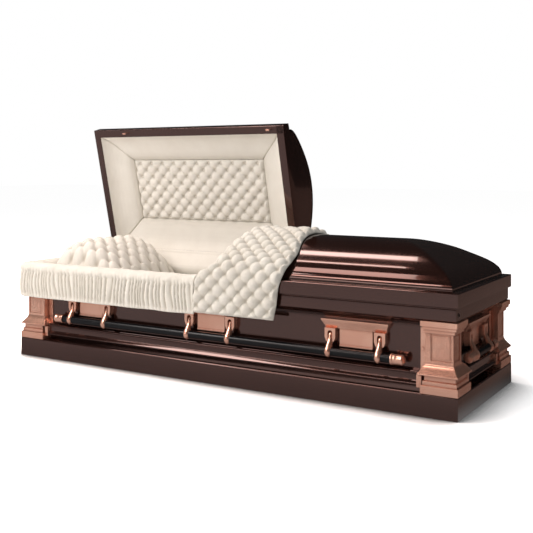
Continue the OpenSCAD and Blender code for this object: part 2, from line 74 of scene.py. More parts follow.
def new_material(name):
    """An empty node material and its shader, ready for its sockets."""
    mat = bpy.data.materials.new(name)
    mat.use_nodes = True
    tree = mat.node_tree
    tree.nodes.clear()
    out = tree.nodes.new("ShaderNodeOutputMaterial")
    shader = tree.nodes.new("ShaderNodeBsdfPrincipled")
    link(shader.outputs["BSDF"], out, "Surface")
    return mat, tree, shader


def link(value, node, socket):
    """Feeds an output or a field into a node's input."""
    node.id_data.links.new(value, node.inputs[socket])


def set_inputs(node, values):
    """Sets inputs of a node by name."""
    for key, value in values.items():
        node.inputs[key].default_value = value


def noise(tree, scale, detail=3.0, rough=0.5):
    """A noise field on the piece's own coordinates."""
    coord = tree.nodes.new("ShaderNodeTexCoord")
    field = tree.nodes.new("ShaderNodeTexNoise")
    set_inputs(field, {"Scale": scale, "Detail": detail, "Roughness": rough})
    link(coord.outputs["Object"], field, "Vector")
    return field.outputs["Fac"]


def spread(tree, value, low, high, start=0.35, stop=0.65):
    """Turns a field that runs from start to stop into a range of values."""
    node = tree.nodes.new("ShaderNodeMapRange")
    set_inputs(node, {"From Min": start, "From Max": stop, "To Min": low, "To Max": high})
    link(value, node, "Value")
    return node.outputs["Result"]


def two_tone(tree, value, first, second, start=0.35, stop=0.65):
    """A colour that runs from the first to the second with a field."""
    ramp = tree.nodes.new("ShaderNodeValToRGB")
    for element, position, colour in zip(ramp.color_ramp.elements, (start, stop), (first, second)):
        element.position = position
        element.color = (*colour, 1)
    link(value, ramp, "Fac")
    return ramp.outputs["Color"]


def brown_lacquer(name, tone, rough):
    """Metallic brown base coat under clear lacquer."""
    mat, tree, shader = new_material(name)
    haze = noise(tree, 2.2, 2)
    dark = tuple(c * 0.92 for c in tone)
    link(two_tone(tree, haze, dark, tone), shader, "Base Color")
    link(spread(tree, haze, rough * 0.9, rough * 1.15), shader, "Roughness")
    set_inputs(shader, {"Metallic": 0.82, "Coat Weight": 0.7, "Coat Roughness": 0.03, "Coat IOR": 1.55})
    return mat


LACQUER = brown_lacquer("brown_lacquer", (0.080, 0.032, 0.024), 0.11)


def rounded(path, radii, steps=5):
    """An open path of [distance in, height] with its inner corners rounded to the given radii."""
    out = [Vector(path[0])]
    for i in range(1, len(path) - 1):
        p, a, b = Vector(path[i]), Vector(path[i - 1]), Vector(path[i + 1])
        r = radii[i] if isinstance(radii, list) else radii
        u, v = (a - p).normalized(), (b - p).normalized()
        half = math.acos(max(-1, min(1, u.dot(v)))) / 2
        if r <= 0 or half > 1.55:
            out.append(p)
            continue
        back = min(r / math.tan(half), (a - p).length * 0.48, (b - p).length * 0.48)
        r = back * math.tan(half)
        mid = p + (u + v).normalized() * (r / math.sin(half))
        start, end = p + u * back - mid, p + v * back - mid
        turn = start.angle_signed(end)
        for k in range(steps + 1):
            f = -turn * k / steps
            c, s = math.cos(f), math.sin(f)
            out.append(mid + Vector((start.x * c - start.y * s, start.x * s + start.y * c)))
    out.append(Vector(path[-1]))
    return out


def thick(path, t):
    """A closed section: the path and its copy a sheet's thickness to its right."""
    last = len(path) - 1
    inner = []
    for i in range(last + 1):
        before = (path[i] - path[i - 1]).normalized() if i else None
        after = (path[i + 1] - path[i]).normalized() if i < last else None
        before, after = before or after, after or before
        bend = Vector((before.y, -before.x)) + Vector((after.y, -after.x))
        inner.append(path[i] + bend * (2 * t / bend.length_squared))
    return list(path) + inner[::-1]


def profile(rows, steps=3):
    """A sheet's closed section from rows of [distance in, height, corner radius]."""
    return thick(rounded([(d, z) for d, z, r in rows], [r for d, z, r in rows], steps), SHEET)


def crease(mesh, degrees=32):
    """Smooth shading that breaks where faces meet at more than the given angle."""
    bm = bmesh.new()
    bm.from_mesh(mesh)
    limit = math.radians(degrees)
    for f in bm.faces:
        f.smooth = True
    for e in bm.edges:
        e.smooth = len(e.link_faces) == 2 and e.calc_face_angle(0) < limit
    bm.to_mesh(mesh)
    bm.free()


def placed(name, data):
    """A new object in the scene."""
    obj = bpy.data.objects.new(name, data)
    bpy.context.scene.collection.objects.link(obj)
    return obj


def make(name, verts, faces, mats, body, nodes, angle=32, painted_shade_values=()):
    """A finished piece; the last argument gives each point's share of painted shade in folds, seams and at
    buttons.
    """
    mesh = bpy.data.meshes.new(name)
    mesh.from_pydata([tuple(v) for v in verts], [], [tuple(f) for f in faces])
    bm = bmesh.new()
    bm.from_mesh(mesh)
    if painted_shade_values:
        layer = bm.verts.layers.float.new("painted_shade")
        for vert, depth in zip(bm.verts, painted_shade_values):
            vert[layer] = depth
    bmesh.ops.remove_doubles(bm, verts=bm.verts, dist=1e-6)
    bmesh.ops.recalc_face_normals(bm, faces=bm.faces)
    bm.to_mesh(mesh)
    bm.free()
    crease(mesh, angle)
    obj = placed(name, mesh)
    for mat in mats if isinstance(mats, list) else [mats]:
        mesh.materials.append(mat)
    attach(obj, body)
    if nodes:
        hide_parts(*nodes)
    return obj


def band_faces(rows, width, first=0, shut=False, caps=False):
    """Faces between closed rows of points; shut joins the last row to the first, caps fills both ends."""
    faces = []
    for row in range(rows if shut else rows - 1):
        a, b = first + row * width, first + (row + 1) % rows * width
        for i in range(width):
            j = (i + 1) % width
            faces.append((a + i, b + i, b + j, a + j))
    if caps:
        faces.append(tuple(range(first, first + width)))
        faces.append(tuple(range(first + (rows - 1) * width, first + rows * width))[::-1])
    return faces


def frame_run(section, corners, shut=True):
    """Sweeps a closed section round plan corners; a corner is (x, y, dx, dy), with its mitre."""
    verts = [(x + dx * s[0], y + dy * s[0], s[1]) for x, y, dx, dy in corners for s in section]
    return verts, band_faces(len(corners), len(section), shut=shut, caps=not shut)


RING = [(-HALF_L, -HALF_W, 1, 1), (HALF_L, -HALF_W, -1, 1),
        (HALF_L, HALF_W, -1, -1), (-HALF_L, HALF_W, 1, -1)]
PANEL_IN = HALF_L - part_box("body_shell")[1].x
ROLLED = 0.0036

skirt = profile([(0.0, 0.0, 0), (0.0, SKIRT_H - ROLLED, 0.002), (ROLLED, SKIRT_H, 0.002),
                 (PANEL_IN + 0.002, SKIRT_H, 0)])
verts, faces = frame_run(skirt, RING)
make("base_skirt_rolled", verts, faces, LACQUER, "casket_body", ["base_skirt"])


def dress(name, mat):
    """Gives a node that keeps its shape its own finish."""
    obj = frame["nodes"][name]
    obj.data.materials.clear()
    obj.data.materials.append(mat)


dress("floor_pan", LACQUER)
dress("body_shell", LACQUER)

# ---------------------------------------------------------------- Lower moulding
# A steel moulding with a thick rounded lower lip and a fine bead above.
# It runs between the corner posts and closes the shadow slot over the skirt.

mould_low, mould_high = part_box("lower_moulding")
post_low, post_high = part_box("post_foot_front")
MOULD_Z = mould_low.z
mould = profile([
    (PANEL_IN - 0.001, MOULD_Z + 0.002, 0), (0.0225, MOULD_Z, 0.003), (0.0162, MOULD_Z + 0.004, 0.003),
    (0.0162, MOULD_Z + 0.008, 0.004), (0.0232, MOULD_Z + 0.0165, 0.003), (0.0268, MOULD_Z + 0.020, 0.002),
    (0.0268, MOULD_Z + 0.041, 0.001), (0.0250, MOULD_Z + 0.0440, 0.001), (0.0250, MOULD_Z + 0.0465, 0.0015),
    (0.0290, MOULD_Z + 0.0510, 0.003), (0.034, MOULD_Z + 0.0525, 0.003), (PANEL_IN - 0.001, mould_high.z, 0)])
RUN_X = post_low.x + 0.001
RUN_Y = post_high.y


def add_mesh(verts, faces, more_verts, more_faces):
    """Adds a second mesh's points and faces to the first lists."""
    faces += [tuple(i + len(verts) for i in face) for face in more_faces]
    verts += more_verts


verts, faces = [], []
for s in (-1, 1):
    long_run = ((-RUN_X, s * HALF_W, 0, -s), (RUN_X, s * HALF_W, 0, -s))
    end_run = ((s * HALF_L, RUN_Y, -s, 0), (s * HALF_L, -RUN_Y, -s, 0))
    for run in (long_run, end_run):
        add_mesh(verts, faces, *frame_run(mould, run, False))
make("lower_moulding_rolled", verts, faces, LACQUER, "casket_body", ["lower_moulding"])

# ---------------------------------------------------------------- Top moulding
# The upper edge of the body: a bead, a cove and a flat band, with the flange the lids close on.
# Two slots in the flange take the latches of the head lid.

top_low, top_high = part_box("top_moulding")
TOP_Z = top_low.z
PART_Z = top_high.z
BAND_OUT = HALF_L - top_high.x
BAND_Z = PART_Z - 0.047
cornice = profile([
    (PANEL_IN - 0.001, TOP_Z + 0.0005, 0), (0.050, TOP_Z + 0.002, 0.001), (0.050, TOP_Z + 0.006, 0.001),
    (0.046, TOP_Z + 0.008, 0.002), (0.036, TOP_Z + 0.013, 0.01), (0.025, TOP_Z + 0.020, 0.01),
    (0.016, BAND_Z - 0.006, 0.006), (0.0125, BAND_Z - 0.002, 0.001), (BAND_OUT, BAND_Z, 0.0015),
    (BAND_OUT, PART_Z, 0.0030), (PANEL_IN + 0.002, PART_Z, 0)], 4)
verts, faces = frame_run(cornice, RING)
top = make("top_moulding_rolled", verts, faces, LACQUER, "casket_body", ["top_moulding"])


def settled(obj):
    """Turns a piece's modifiers into its mesh."""
    done = bpy.data.meshes.new_from_object(obj.evaluated_get(bpy.context.evaluated_depsgraph_get()))
    obj.modifiers.clear()
    obj.data = done
    return done


def cut(obj, blocks, bore):
    """Cuts square slots and one round bore along X out of a piece."""
    bm = bmesh.new()
    for centre, size in blocks:
        bmesh.ops.create_cube(bm, size=1, matrix=Matrix.Translation(centre) @ Matrix.Diagonal((*size, 1)))
    centre, radius, length = bore
    turned = Matrix.Translation(centre) @ Matrix.Rotation(math.pi / 2, 4, "Y")
    bmesh.ops.create_cone(bm, cap_ends=True, segments=32, radius1=radius, radius2=radius, depth=length,
                          matrix=turned)
    mesh = bpy.data.meshes.new("cutter")
    bm.to_mesh(mesh)
    bm.free()
    tool = placed("cutter", mesh)
    mod = obj.modifiers.new("cut", "BOOLEAN")
    mod.operation, mod.solver, mod.object = "DIFFERENCE", "EXACT", tool
    done = settled(obj)
    bpy.data.objects.remove(tool)
    crease(done)


KEY_Y, KEY_Z, KEY_R = -0.295, 0.365, 0.008
LATCH_XS = (-HALF_L + 0.215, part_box("head_lid_rim")[1].x - 0.076)
SLOT = (0.030, 0.012, 0.008)
slots = [((x, -HALF_W + 0.017, PART_Z), SLOT) for x in LATCH_XS]
cut(top, slots, ((HALF_L - BAND_OUT, KEY_Y, KEY_Z), KEY_R, 0.02))

# ---------------------------------------------------------------- Lids
# Two pressed steel lids on one hinge line: a flat rim band, a ledge and a high domed crown.
# Each is open underneath, and a flat header closes it at the split.

hinge = next(j for j in frame["joints"] if j["name"] == "head_lid_hinge")
OPEN = math.radians(hinge["range_deg"][1])
AXIS = Vector(hinge["pos_m"])
STAND = Matrix.Translation(AXIS) @ Matrix.Rotation(-OPEN, 4, "X") @ Matrix.Translation(-AXIS)
foot_low, foot_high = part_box("foot_lid_rim")
FOOT_SPLIT = foot_low.x
HEAD_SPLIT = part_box("head_lid_rim")[1].x
RIM_Z = foot_low.z
LEDGE_Z = foot_high.z
BAND_TOP = LEDGE_Z - 0.003
CROWN_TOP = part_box("foot_lid_crown")[1].z
FLANGE = 0.038


def stand(verts):
    """Turns a piece made for the closed head lid to where it stands open."""
    return [tuple(STAND @ Vector(v)) for v in verts]


FOOT_IN, FOOT_OUT, FOOT_RISE = 0.030, 0.070, 0.057


def rise(s, run):
    """Height of the crown above the ledge at distance s in from the lid's outer face."""
    if s <= FOOT_OUT:
        return FOOT_RISE * math.sqrt(max(0.0, s - FOOT_IN) / (FOOT_OUT - FOOT_IN))
    f = min(1.0, (s - FOOT_OUT) / (run - FOOT_OUT))
    return FOOT_RISE + (CROWN_TOP - LEDGE_Z - FOOT_RISE) * math.sin(math.pi / 2 * f ** 0.93)


HIP = 0.360
STEPS = [FOOT_IN + (FOOT_OUT - FOOT_IN) * (k / 20) ** 2 for k in range(21)]
STEPS += [FOOT_OUT + (HALF_W - FOOT_OUT) * (k / 30) ** 1.3 for k in range(1, 31)]


def shell_faces(rows, width, inward=False):
    """Faces of a closed solid between two grids of points and round their edge."""
    size = rows * width
    faces = []
    for first in (0, size):
        for i in range(rows - 1):
            for j in range(width - 1):
                a = first + i * width + j
                quad = (a, a + width, a + width + 1, a + 1)
                faces.append(quad[::-1] if (first == 0) == inward else quad)
    edge = [i * width for i in range(rows)] + [(rows - 1) * width + j for j in range(1, width)]
    edge += [i * width + width - 1 for i in range(rows - 2, -1, -1)] + list(range(width - 2, 0, -1))
    for a, b in zip(edge, edge[1:] + edge[:1]):
        faces.append((a, b, size + b, size + a) if inward else (a, size + a, size + b, b))
    return faces


def crown_mesh(x_out, x_split):
    """The domed crown, with its end hip, as an outer and an inner skin."""
    turn = 1 if x_split > x_out else -1
    across = [-HALF_W + s for s in STEPS] + [HALF_W - s for s in STEPS[-2::-1]]
    along = STEPS[:-1] + [HALF_W, 0.347, HIP] + list(np.linspace(HIP, abs(x_split - x_out), 12)[1:])
    verts = []
    for skin in (0.0, SHEET):
        for u in along:
            x = x_out + turn * (u + (skin if u < FOOT_OUT else 0))
            for y in across:
                s = HALF_W - abs(y)
                z = LEDGE_Z + min(rise(s, HALF_W), rise(u, HIP))
                if skin:
                    y *= 1 - (skin if s < FOOT_OUT else 0) / HALF_W
                    z = max(LEDGE_Z, z - skin * 1.2)
                verts.append((x, y, z))
    return verts, shell_faces(len(along), len(across), True)


def rim_mesh(x_out, x_split):
    """The rim: a band with a flange below and a ledge above on three sides, and a plain band at the split."""
    turn = 1 if x_split > x_out else -1
    flange = [(FLANGE, RIM_Z + 0.010, 0), (FLANGE, RIM_Z, 0.001)]
    band = profile(flange + [(0.0, RIM_Z, 0.0030), (0.0, BAND_TOP - 0.0026, 0.0015),
                             (0.0026, BAND_TOP, 0.0015), (0.026, LEDGE_Z, 0.004), (0.042, LEDGE_Z, 0)])
    cross = profile(flange + [(0.0, RIM_Z, 0.0018), (0.0, BAND_TOP, 0)], 4)
    verts, faces = frame_run(band, [(x_split, -HALF_W, 0, 1), (x_out, -HALF_W, turn, 1),
                                    (x_out, HALF_W, turn, -1), (x_split, HALF_W, 0, -1)], False)
    side = HALF_W - 0.0004
    add_mesh(verts, faces, *frame_run(cross, [(x_split, -side, -turn, 0), (x_split, side, -turn, 0)], False))
    return verts, faces


def header_mesh(x_out, x_split):
    """The flat panel that closes a lid at the split."""
    turn = 1 if x_split > x_out else -1
    start = -HALF_W + 0.0425
    rows = [(-HALF_W + s + (0.0015 if s < FOOT_OUT else 0), LEDGE_Z + rise(s, HALF_W) - SHEET * 1.3)
            for s in STEPS]
    edge = [(start, RIM_Z + 0.002)] + [(y, z) for y, z in rows if y > start]
    edge += [(-y, z) for y, z in edge[-2::-1]]
    count = len(edge)
    verts = [(x_split - turn * x, y, z) for x in (0.0025, 0.0025 + SHEET) for y, z in edge]
    faces = [tuple(range(count)), tuple(range(count, 2 * count))[::-1]]
    faces += [(i, (i + 1) % count, count + (i + 1) % count, count + i) for i in range(count)]
    return verts, faces


for lid, x_out, x_split in (("head_lid", -HALF_L, HEAD_SPLIT), ("foot_lid", HALF_L, FOOT_SPLIT)):
    for part, pressed in (("rim", rim_mesh), ("crown", crown_mesh), ("header", header_mesh)):
        verts, faces = pressed(x_out, x_split)
        verts = stand(verts) if lid == "head_lid" else verts
        make(f"{lid}_{part}_pressed", verts, faces, LACQUER, lid, [f"{lid}_{part}"], 40)

# ---------------------------------------------------------------- Corner posts
# Classical corner posts cast in rose copper: plinth, scotia, flared foot, shaft and stepped cap.
# Each shaft has a sunk frame with a stippled panel, and screws to the body by its flanges.


def relief(tree, shader, value, strength, distance, before=None):
    """Bumps the surface by a field, on top of an earlier bump."""
    bump = tree.nodes.new("ShaderNodeBump")
    set_inputs(bump, {"Strength": strength, "Distance": distance})
    link(value, bump, "Height")
    if before:
        link(before, bump, "Normal")
    link(bump.outputs["Normal"], shader, "Normal")
    return bump.outputs["Normal"]


def blended(tree, share, first, second):
    """A colour between two, each a field or a plain colour, by a share from 0 to 1."""
    node = tree.nodes.new("ShaderNodeMix")
    node.data_type = "RGBA"
    link(share, node, 0)
    for socket, colour in ((node.inputs[6], first), (node.inputs[7], second)):
        if isinstance(colour, tuple):
            socket.default_value = (*colour, 1)
        else:
            tree.links.new(colour, socket)
    return node.outputs[2]


def rose_copper(name, stipple=0.0):
    """Rose copper plate, satin, darker in its hollows."""
    mat, tree, shader = new_material(name)
    hollow = tree.nodes.new("ShaderNodeAmbientOcclusion")
    hollow.samples = 6
    hollow.only_local = True
    hollow.inputs["Distance"].default_value = 0.014
    bare = spread(tree, hollow.outputs["AO"], 0.0, 1.0, 0.45, 0.95)
    plate = two_tone(tree, noise(tree, 9, 3, 0.5), (0.84, 0.46, 0.34), (0.92, 0.55, 0.42))
    link(blended(tree, bare, (0.42, 0.16, 0.10), plate), shader, "Base Color")
    link(spread(tree, noise(tree, 30, 2), 0.22, 0.26), shader, "Roughness")
    set_inputs(shader, {"Metallic": 0.82, "Coat Weight": 0.6, "Coat Roughness": 0.10,
                        "Coat Tint": (1.0, 0.90, 0.85, 1)})
    if stipple:
        coord = tree.nodes.new("ShaderNodeTexCoord")
        cells = tree.nodes.new("ShaderNodeTexVoronoi")
        cells.inputs["Scale"].default_value = 420
        link(coord.outputs["Object"], cells, "Vector")
        relief(tree, shader, cells.outputs["Distance"], stipple, 0.0015)
    return mat


COPPER = rose_copper("rose_copper")
STIPPLED = rose_copper("rose_copper_stippled", 0.55)


def softened(name, node, body, mats, width, segments=2):
    """A copy of a node's shape with its edges rounded, as casting and plating leave them."""
    mesh = frame["nodes"][node].data.copy()
    mesh.name = name
    bm = bmesh.new()
    bm.from_mesh(mesh)
    bmesh.ops.remove_doubles(bm, verts=bm.verts, dist=2e-6)
    bmesh.ops.dissolve_limit(bm, angle_limit=math.radians(1.0), verts=bm.verts, edges=bm.edges)
    bm.to_mesh(mesh)
    bm.free()
    mesh.materials.clear()
    for mat in mats:
        mesh.materials.append(mat)
    obj = placed(name, mesh)
    bevel = obj.modifiers.new("rounding", "BEVEL")
    bevel.width, bevel.segments = width, segments
    bevel.limit_method = "ANGLE"
    bevel.angle_limit = math.radians(35)
    bevel.use_clamp_overlap = True
    crease(settled(obj), 38)
    normals = obj.modifiers.new("even shading", "WEIGHTED_NORMAL")
    normals.keep_sharp = True
    settled(obj).name = name
    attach(obj, body)
    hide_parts(node)
    return obj


STIPPLE_Z = 0.247
for corner in ("foot_front", "foot_back", "head_front", "head_back"):
    post = softened(f"post_{corner}_cast", f"post_{corner}", "casket_body", [COPPER, STIPPLED], 0.0015)
    for face in post.data.polygons:
        c, n = face.center, face.normal
        if abs(c.z - STIPPLE_Z) < 0.030 and face.area > 0.001 and max(abs(n.x), abs(n.y)) > 0.9:
            sunk = HALF_W - abs(c.y) if abs(n.y) > 0.9 else HALF_L - abs(c.x)
            if 0.0235 < sunk < 0.0275:
                face.material_index = 1

# ---------------------------------------------------------------- Handle lugs and bars
# Each lug is one casting: an ogee bracket, a plain plate and two shield-shaped ears.
# Pear-drop arms hang in the ears on pins and carry a black bar with copper tips.

for node in sorted(frame["nodes"]):
    if node.startswith("lug_"):
        softened(node + "_cast", node, "casket_body", [COPPER], 0.0012)


def plain_finish(name, grain, tones, patches, gloss, fixed, detail=3):
    """An even finish: colour mottled by one noise field, roughness by another, and fixed sockets."""
    mat, tree, shader = new_material(name)
    link(two_tone(tree, noise(tree, grain, 3), *tones), shader, "Base Color")
    link(spread(tree, noise(tree, patches, detail), *gloss), shader, "Roughness")
    set_inputs(shader, fixed)
    return mat


BLACK = plain_finish("black_enamel", 35, ((0.004, 0.004, 0.005), (0.006, 0.006, 0.007)), 80, (0.20, 0.27),
                     {"Specular IOR Level": 0.22, "Coat Weight": 0.05, "Coat Roughness": 0.2})


def lathe(rows, centre, axis, segments=40):
    """A turned shape from rows of [along, radius], from one pole to the other."""
    along = Vector(axis).normalized()
    u = along.orthogonal().normalized()
    v = along.cross(u)
    verts = []
    for t, r in rows:
        for k in range(segments):
            f = 2 * math.pi * k / segments
            verts.append(Vector(centre) + along * t + (u * math.cos(f) + v * math.sin(f)) * max(r, 1e-6))
    return verts, band_faces(len(rows), segments)


PANEL_Y = HALF_W - PANEL_IN
PANEL_X = HALF_L - PANEL_IN
BAR_R = 0.016
TIP = 0.053
TIP_ROWS = [(0, 0.0), (0, 0.0205), (0.0015, 0.021), (0.006, 0.021), (0.0075, 0.0205), (0.009, 0.0188),
            (0.014, 0.0186), (0.016, 0.0192), (0.018, 0.0186), (0.038, 0.0186), (0.040, 0.0194),
            (0.044, 0.0196), (0.047, 0.0188), (0.049, 0.0165), (0.050, 0.0135), (0.0515, 0.0125),
            (0.053, 0.0085), (0.053, 0)]


def bar_piece(name, node, body):
    """A bar, black between its two turned copper tips."""
    low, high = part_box(node)
    centre, size = (low + high) / 2, high - low
    axis = Vector((1, 0, 0)) if size.x > size.y else Vector((0, 1, 0))
    half = max(size.x, size.y) / 2
    reach = half - TIP + 0.004
    verts, faces = lathe([(-reach, 0), (-reach, BAR_R), (reach, BAR_R), (reach, 0)], centre, axis)
    paints = [0] * len(faces)
    for s in (-1, 1):
        tip_verts, tip_faces = lathe(TIP_ROWS, centre + axis * s * (half - TIP), axis * s)
        add_mesh(verts, faces, tip_verts, tip_faces)
        paints += [1] * len(tip_faces)
    bar = make(name, verts, faces, [BLACK, COPPER], body, [node], 35)
    bar.data.polygons.foreach_set("material_index", paints)


for side in ("front", "back", "foot", "head"):
    bar_piece(f"{side}_bar_turned", f"{side}_bar", f"{side}_handle")

PIN_Z, BAR_Z = 0.250, 0.186
PIN_OUT, BAR_OUT = 0.015, 0.0355
ARM_SIDES = 28
ARM_SQUARE = 0.8
# along from the pin, half width, depth to the front, depth to the back
ARM_ROWS = [(-0.0090, 0.0008, 0.0005, 0.0005), (-0.0084, 0.0042, 0.0034, 0.0030),
            (-0.0050, 0.0070, 0.0070, 0.0060), (0.0, 0.0078, 0.0080, 0.0070), (0.008, 0.0080, 0.0082, 0.0060),
            (0.018, 0.0086, 0.0088, 0.0056), (0.030, 0.0102, 0.0106, 0.0064), (0.042, 0.0122, 0.0140, 0.0090),
            (0.053, 0.0140, 0.0176, 0.0125), (0.063, 0.0150, 0.0196, 0.0150), (0.071, 0.0142, 0.0190, 0.0150),
            (0.078, 0.0114, 0.0156, 0.0128), (0.083, 0.0074, 0.0106, 0.0088), (0.0862, 0.0030, 0.0048, 0.0040),
            (0.0872, 0.0004, 0.0005, 0.0005)]


def drop_arm(name, node, body):
    """A pear-drop arm: a flat eye on the pin, swelling to a full drop round the bar."""
    low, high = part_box(node)
    c = (low + high) / 2
    if high.x - low.x < high.y - low.y:
        out = -1 if c.y < 0 else 1
        side, front, wall = Vector((1, 0, 0)), Vector((0, out, 0)), Vector((c.x, out * PANEL_Y, 0))
    else:
        out = -1 if c.x < 0 else 1
        side, front, wall = Vector((0, 1, 0)), Vector((out, 0, 0)), Vector((out * PANEL_X, c.y, 0))
    pivot = wall + front * PIN_OUT + Vector((0, 0, PIN_Z))
    foot = wall + front * BAR_OUT + Vector((0, 0, BAR_Z))
    down = (foot - pivot).normalized()
    normal = (front - down * front.dot(down)).normalized()
    verts = []
    for t, wide, ahead, behind in ARM_ROWS:
        for k in range(ARM_SIDES):
            a = 2 * math.pi * k / ARM_SIDES
            cx, cz = math.cos(a), math.sin(a)
            x = wide * math.copysign(abs(cx) ** ARM_SQUARE, cx)
            y = (ahead if cz > 0 else behind) * math.copysign(abs(cz) ** ARM_SQUARE, cz)
            verts.append(pivot + down * t + side * x + normal * y)
    faces = band_faces(len(ARM_ROWS), ARM_SIDES, caps=True)
    make(name, verts, faces, COPPER, body, [node], 60)


for body, nodes in frame["record"]["behaviour"]["bodies"].items():
    for node in nodes:
        if "_arm_" in node:
            drop_arm(node + "_cast", node, body)

# ---------------------------------------------------------------- Hinges, latches and lock socket
# Steel butt hinges behind the lids, folded and enamelled brown, with a leaf on the body and one on the lid.
# Two cast hook latches hang from the head lid, and the crank socket of the lock is at the foot end.

hinge_mat = plain_finish("hinge_enamel", 50, ((0.05, 0.03, 0.025), (0.08, 0.05, 0.04)), 90, (0.3, 0.45),
                         {"Metallic": 0.6})
for node, body in (("head_hinge_body_leaves", "casket_body"), ("foot_hinge_body_leaves", "casket_body"),
                   ("head_hinge_lid_leaves", "head_lid"), ("foot_hinge_lid_leaves", "foot_lid")):
    softened(node + "_folded", node, body, [hinge_mat], 0.0005, 1)
softened("head_lid_latches_cast", "head_lid_latches", "head_lid", [COPPER], 0.0006)
steel = plain_finish("plain_steel", 60, ((0.5, 0.5, 0.5), (0.68, 0.67, 0.66)), 120, (0.2, 0.4),
                     {"Metallic": 1.0})
dress("lock_socket", steel)

# ---------------------------------------------------------------- Bed frame and mattress
# A grey enamelled frame of angle and slats lies inside the body.
# It carries a mattress in cream crepe, crowned on top and flat below.

grey = plain_finish("grey_enamel", 40, ((0.18, 0.18, 0.19), (0.24, 0.24, 0.25)), 90, (0.4, 0.55), {}, 2)
dress("bed_frame", grey)


def cloth(name, light, shade, weave, sheen):
    """Cream fabric: fine weave, soft sheen, a slight unevenness of tone, and painted shade in its folds, seams and
    at its buttons.
    """
    mat, tree, shader = new_material(name)
    # Painted shade: a per-point attribute darkens the base colour where folds, seams and buttons would lie in
    # shadow.
    painted_shade = tree.nodes.new("ShaderNodeAttribute")
    painted_shade.attribute_name = "painted_shade"
    tone = two_tone(tree, noise(tree, 9, 4, 0.6), shade, light)
    painted_shade_colour = (shade[0] * 0.50, shade[1] * 0.46, shade[2] * 0.40)
    link(blended(tree, painted_shade.outputs["Fac"], tone, painted_shade_colour), shader, "Base Color")
    link(spread(tree, noise(tree, 60, 2), 0.78, 0.92), shader, "Roughness")
    set_inputs(shader, {"Sheen Weight": sheen, "Sheen Roughness": 0.45, "Sheen Tint": (1.0, 0.97, 0.92, 1),
                        "Specular IOR Level": 0.25})
    first = relief(tree, shader, noise(tree, weave, 2), 0.25, 0.0006)
    relief(tree, shader, noise(tree, 70, 4, 0.6), 0.18, 0.0015, first)
    return mat


CREAM = cloth("cream_crepe", (0.725, 0.705, 0.640), (0.690, 0.665, 0.600), 1400, 0.15)
QUILT = cloth("quilted_velvet", (0.695, 0.680, 0.615), (0.650, 0.630, 0.560), 1100, 0.25)


def grid_solid(name, top, bottom, mat, body, nodes, angle=75, painted_shade_values=()):
    """A padded solid between two grids of points, closed round its edge."""
    verts = [p for row in top + bottom for p in row]
    # Painted shade values for the top skin; the back skin gets none.
    painted_shade_list = list(painted_shade_values) + [0.0] * (len(verts) // 2) if painted_shade_values else ()
    return make(name, verts, shell_faces(len(top), len(top[0])), mat, body, nodes, angle, painted_shade_list)


def wobble(x, y, scale, seed=0.0):
    """A smooth, repeatable unevenness between -1 and 1."""
    first = math.sin(x * scale + 1.7 * math.sin(y * scale * 0.7 + seed) + seed)
    second = math.sin(y * scale * 1.31 + 1.3 * math.sin(x * scale * 0.9 - seed) + 2 * seed)
    return (first + second) / 2


def mattress_mesh(low, high, crown=0.014, pull=0.004, rows=60, columns=24):
    """A box cushion: a crowned top, and sides pulled in between the corners."""
    top, bottom = [], []
    c, h = (low + high) / 2, (high - low) / 2
    for i in range(rows + 1):
        top.append([])
        bottom.append([])
        for j in range(columns + 1):
            u, v = 2 * i / rows - 1, 2 * j / columns - 1
            edge = max(abs(u), abs(v))
            x = c.x + h.x * u * (1 - pull * (1 - v * v))
            y = c.y + h.y * v * (1 - pull * 2 * (1 - u * u))
            z = c.z + h.z - crown * (abs(u) ** 6 + abs(v) ** 4) * 0.5 - crown * edge ** 10 * 0.3
            top[-1].append((x, y, z + 0.0015 * wobble(x, y, 40)))
            bottom[-1].append((x, y, low.z if edge < 0.97 else low.z + 0.006))
    return top, bottom


top, bottom = mattress_mesh(*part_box("mattress"))
grid_solid("mattress_quilt", top, bottom, CREAM, "casket_body", ["mattress"])

# ---------------------------------------------------------------- Body lining
# Cream crepe over thin padding, gathered lightly, on the inside of the body walls.
# It is one ring, from the bed to just under the rim.

line_low, line_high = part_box("body_lining")
LINING = 0.020
LINING_FOLD = 0.0022
LINING_STEP = 0.009


def wall_lining():
    """One padded ring of gathered cloth."""
    x1, y1 = line_high.x, line_high.y
    corners = [(-x1, -y1), (x1, -y1), (x1, y1), (-x1, y1)]
    loop = []
    for a, b in zip(corners, corners[1:] + corners[:1]):
        count = int(math.dist(a, b) / LINING_STEP)
        loop += [(a[0] + (b[0] - a[0]) * k / count, a[1] + (b[1] - a[1]) * k / count) for k in range(count)]
    verts = []
    heights = np.linspace(line_low.z, line_high.z, 18)
    for k, (x, y) in enumerate(loop):
        for z in heights:
            f = (z - line_low.z) / (line_high.z - line_low.z)
            wave = math.sin(k * 1.15 + 1.2 * math.sin(k * 0.31) + 0.6 * math.sin(f * 5 + k * 0.2))
            fold = LINING_FOLD * wave * (0.4 + 0.6 * math.sin(math.pi * min(1, f + 0.1)))
            depth = LINING * (0.80 + 0.20 * math.sin(math.pi * f) ** 0.5) + fold - 0.002
            verts.append((x * (1 - depth / x1), y * (1 - depth / y1), z))
        verts += [(x, y, line_high.z), (x, y, line_low.z)]
    return verts, band_faces(len(loop), len(heights) + 2, shut=True)


verts, faces = wall_lining()
make("body_lining_gathered", verts, faces, CREAM, "casket_body", ["body_lining"], 80)

# ---------------------------------------------------------------- Lid linings
# A smooth coved border, mitred and seamed at the corners, frames a diamond-tufted panel.
# The foot lid has the same lining, out of sight while it is shut.

PAD_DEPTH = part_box("foot_lid_lining")[1].z - 0.022 - RIM_Z
BORDER = 0.140

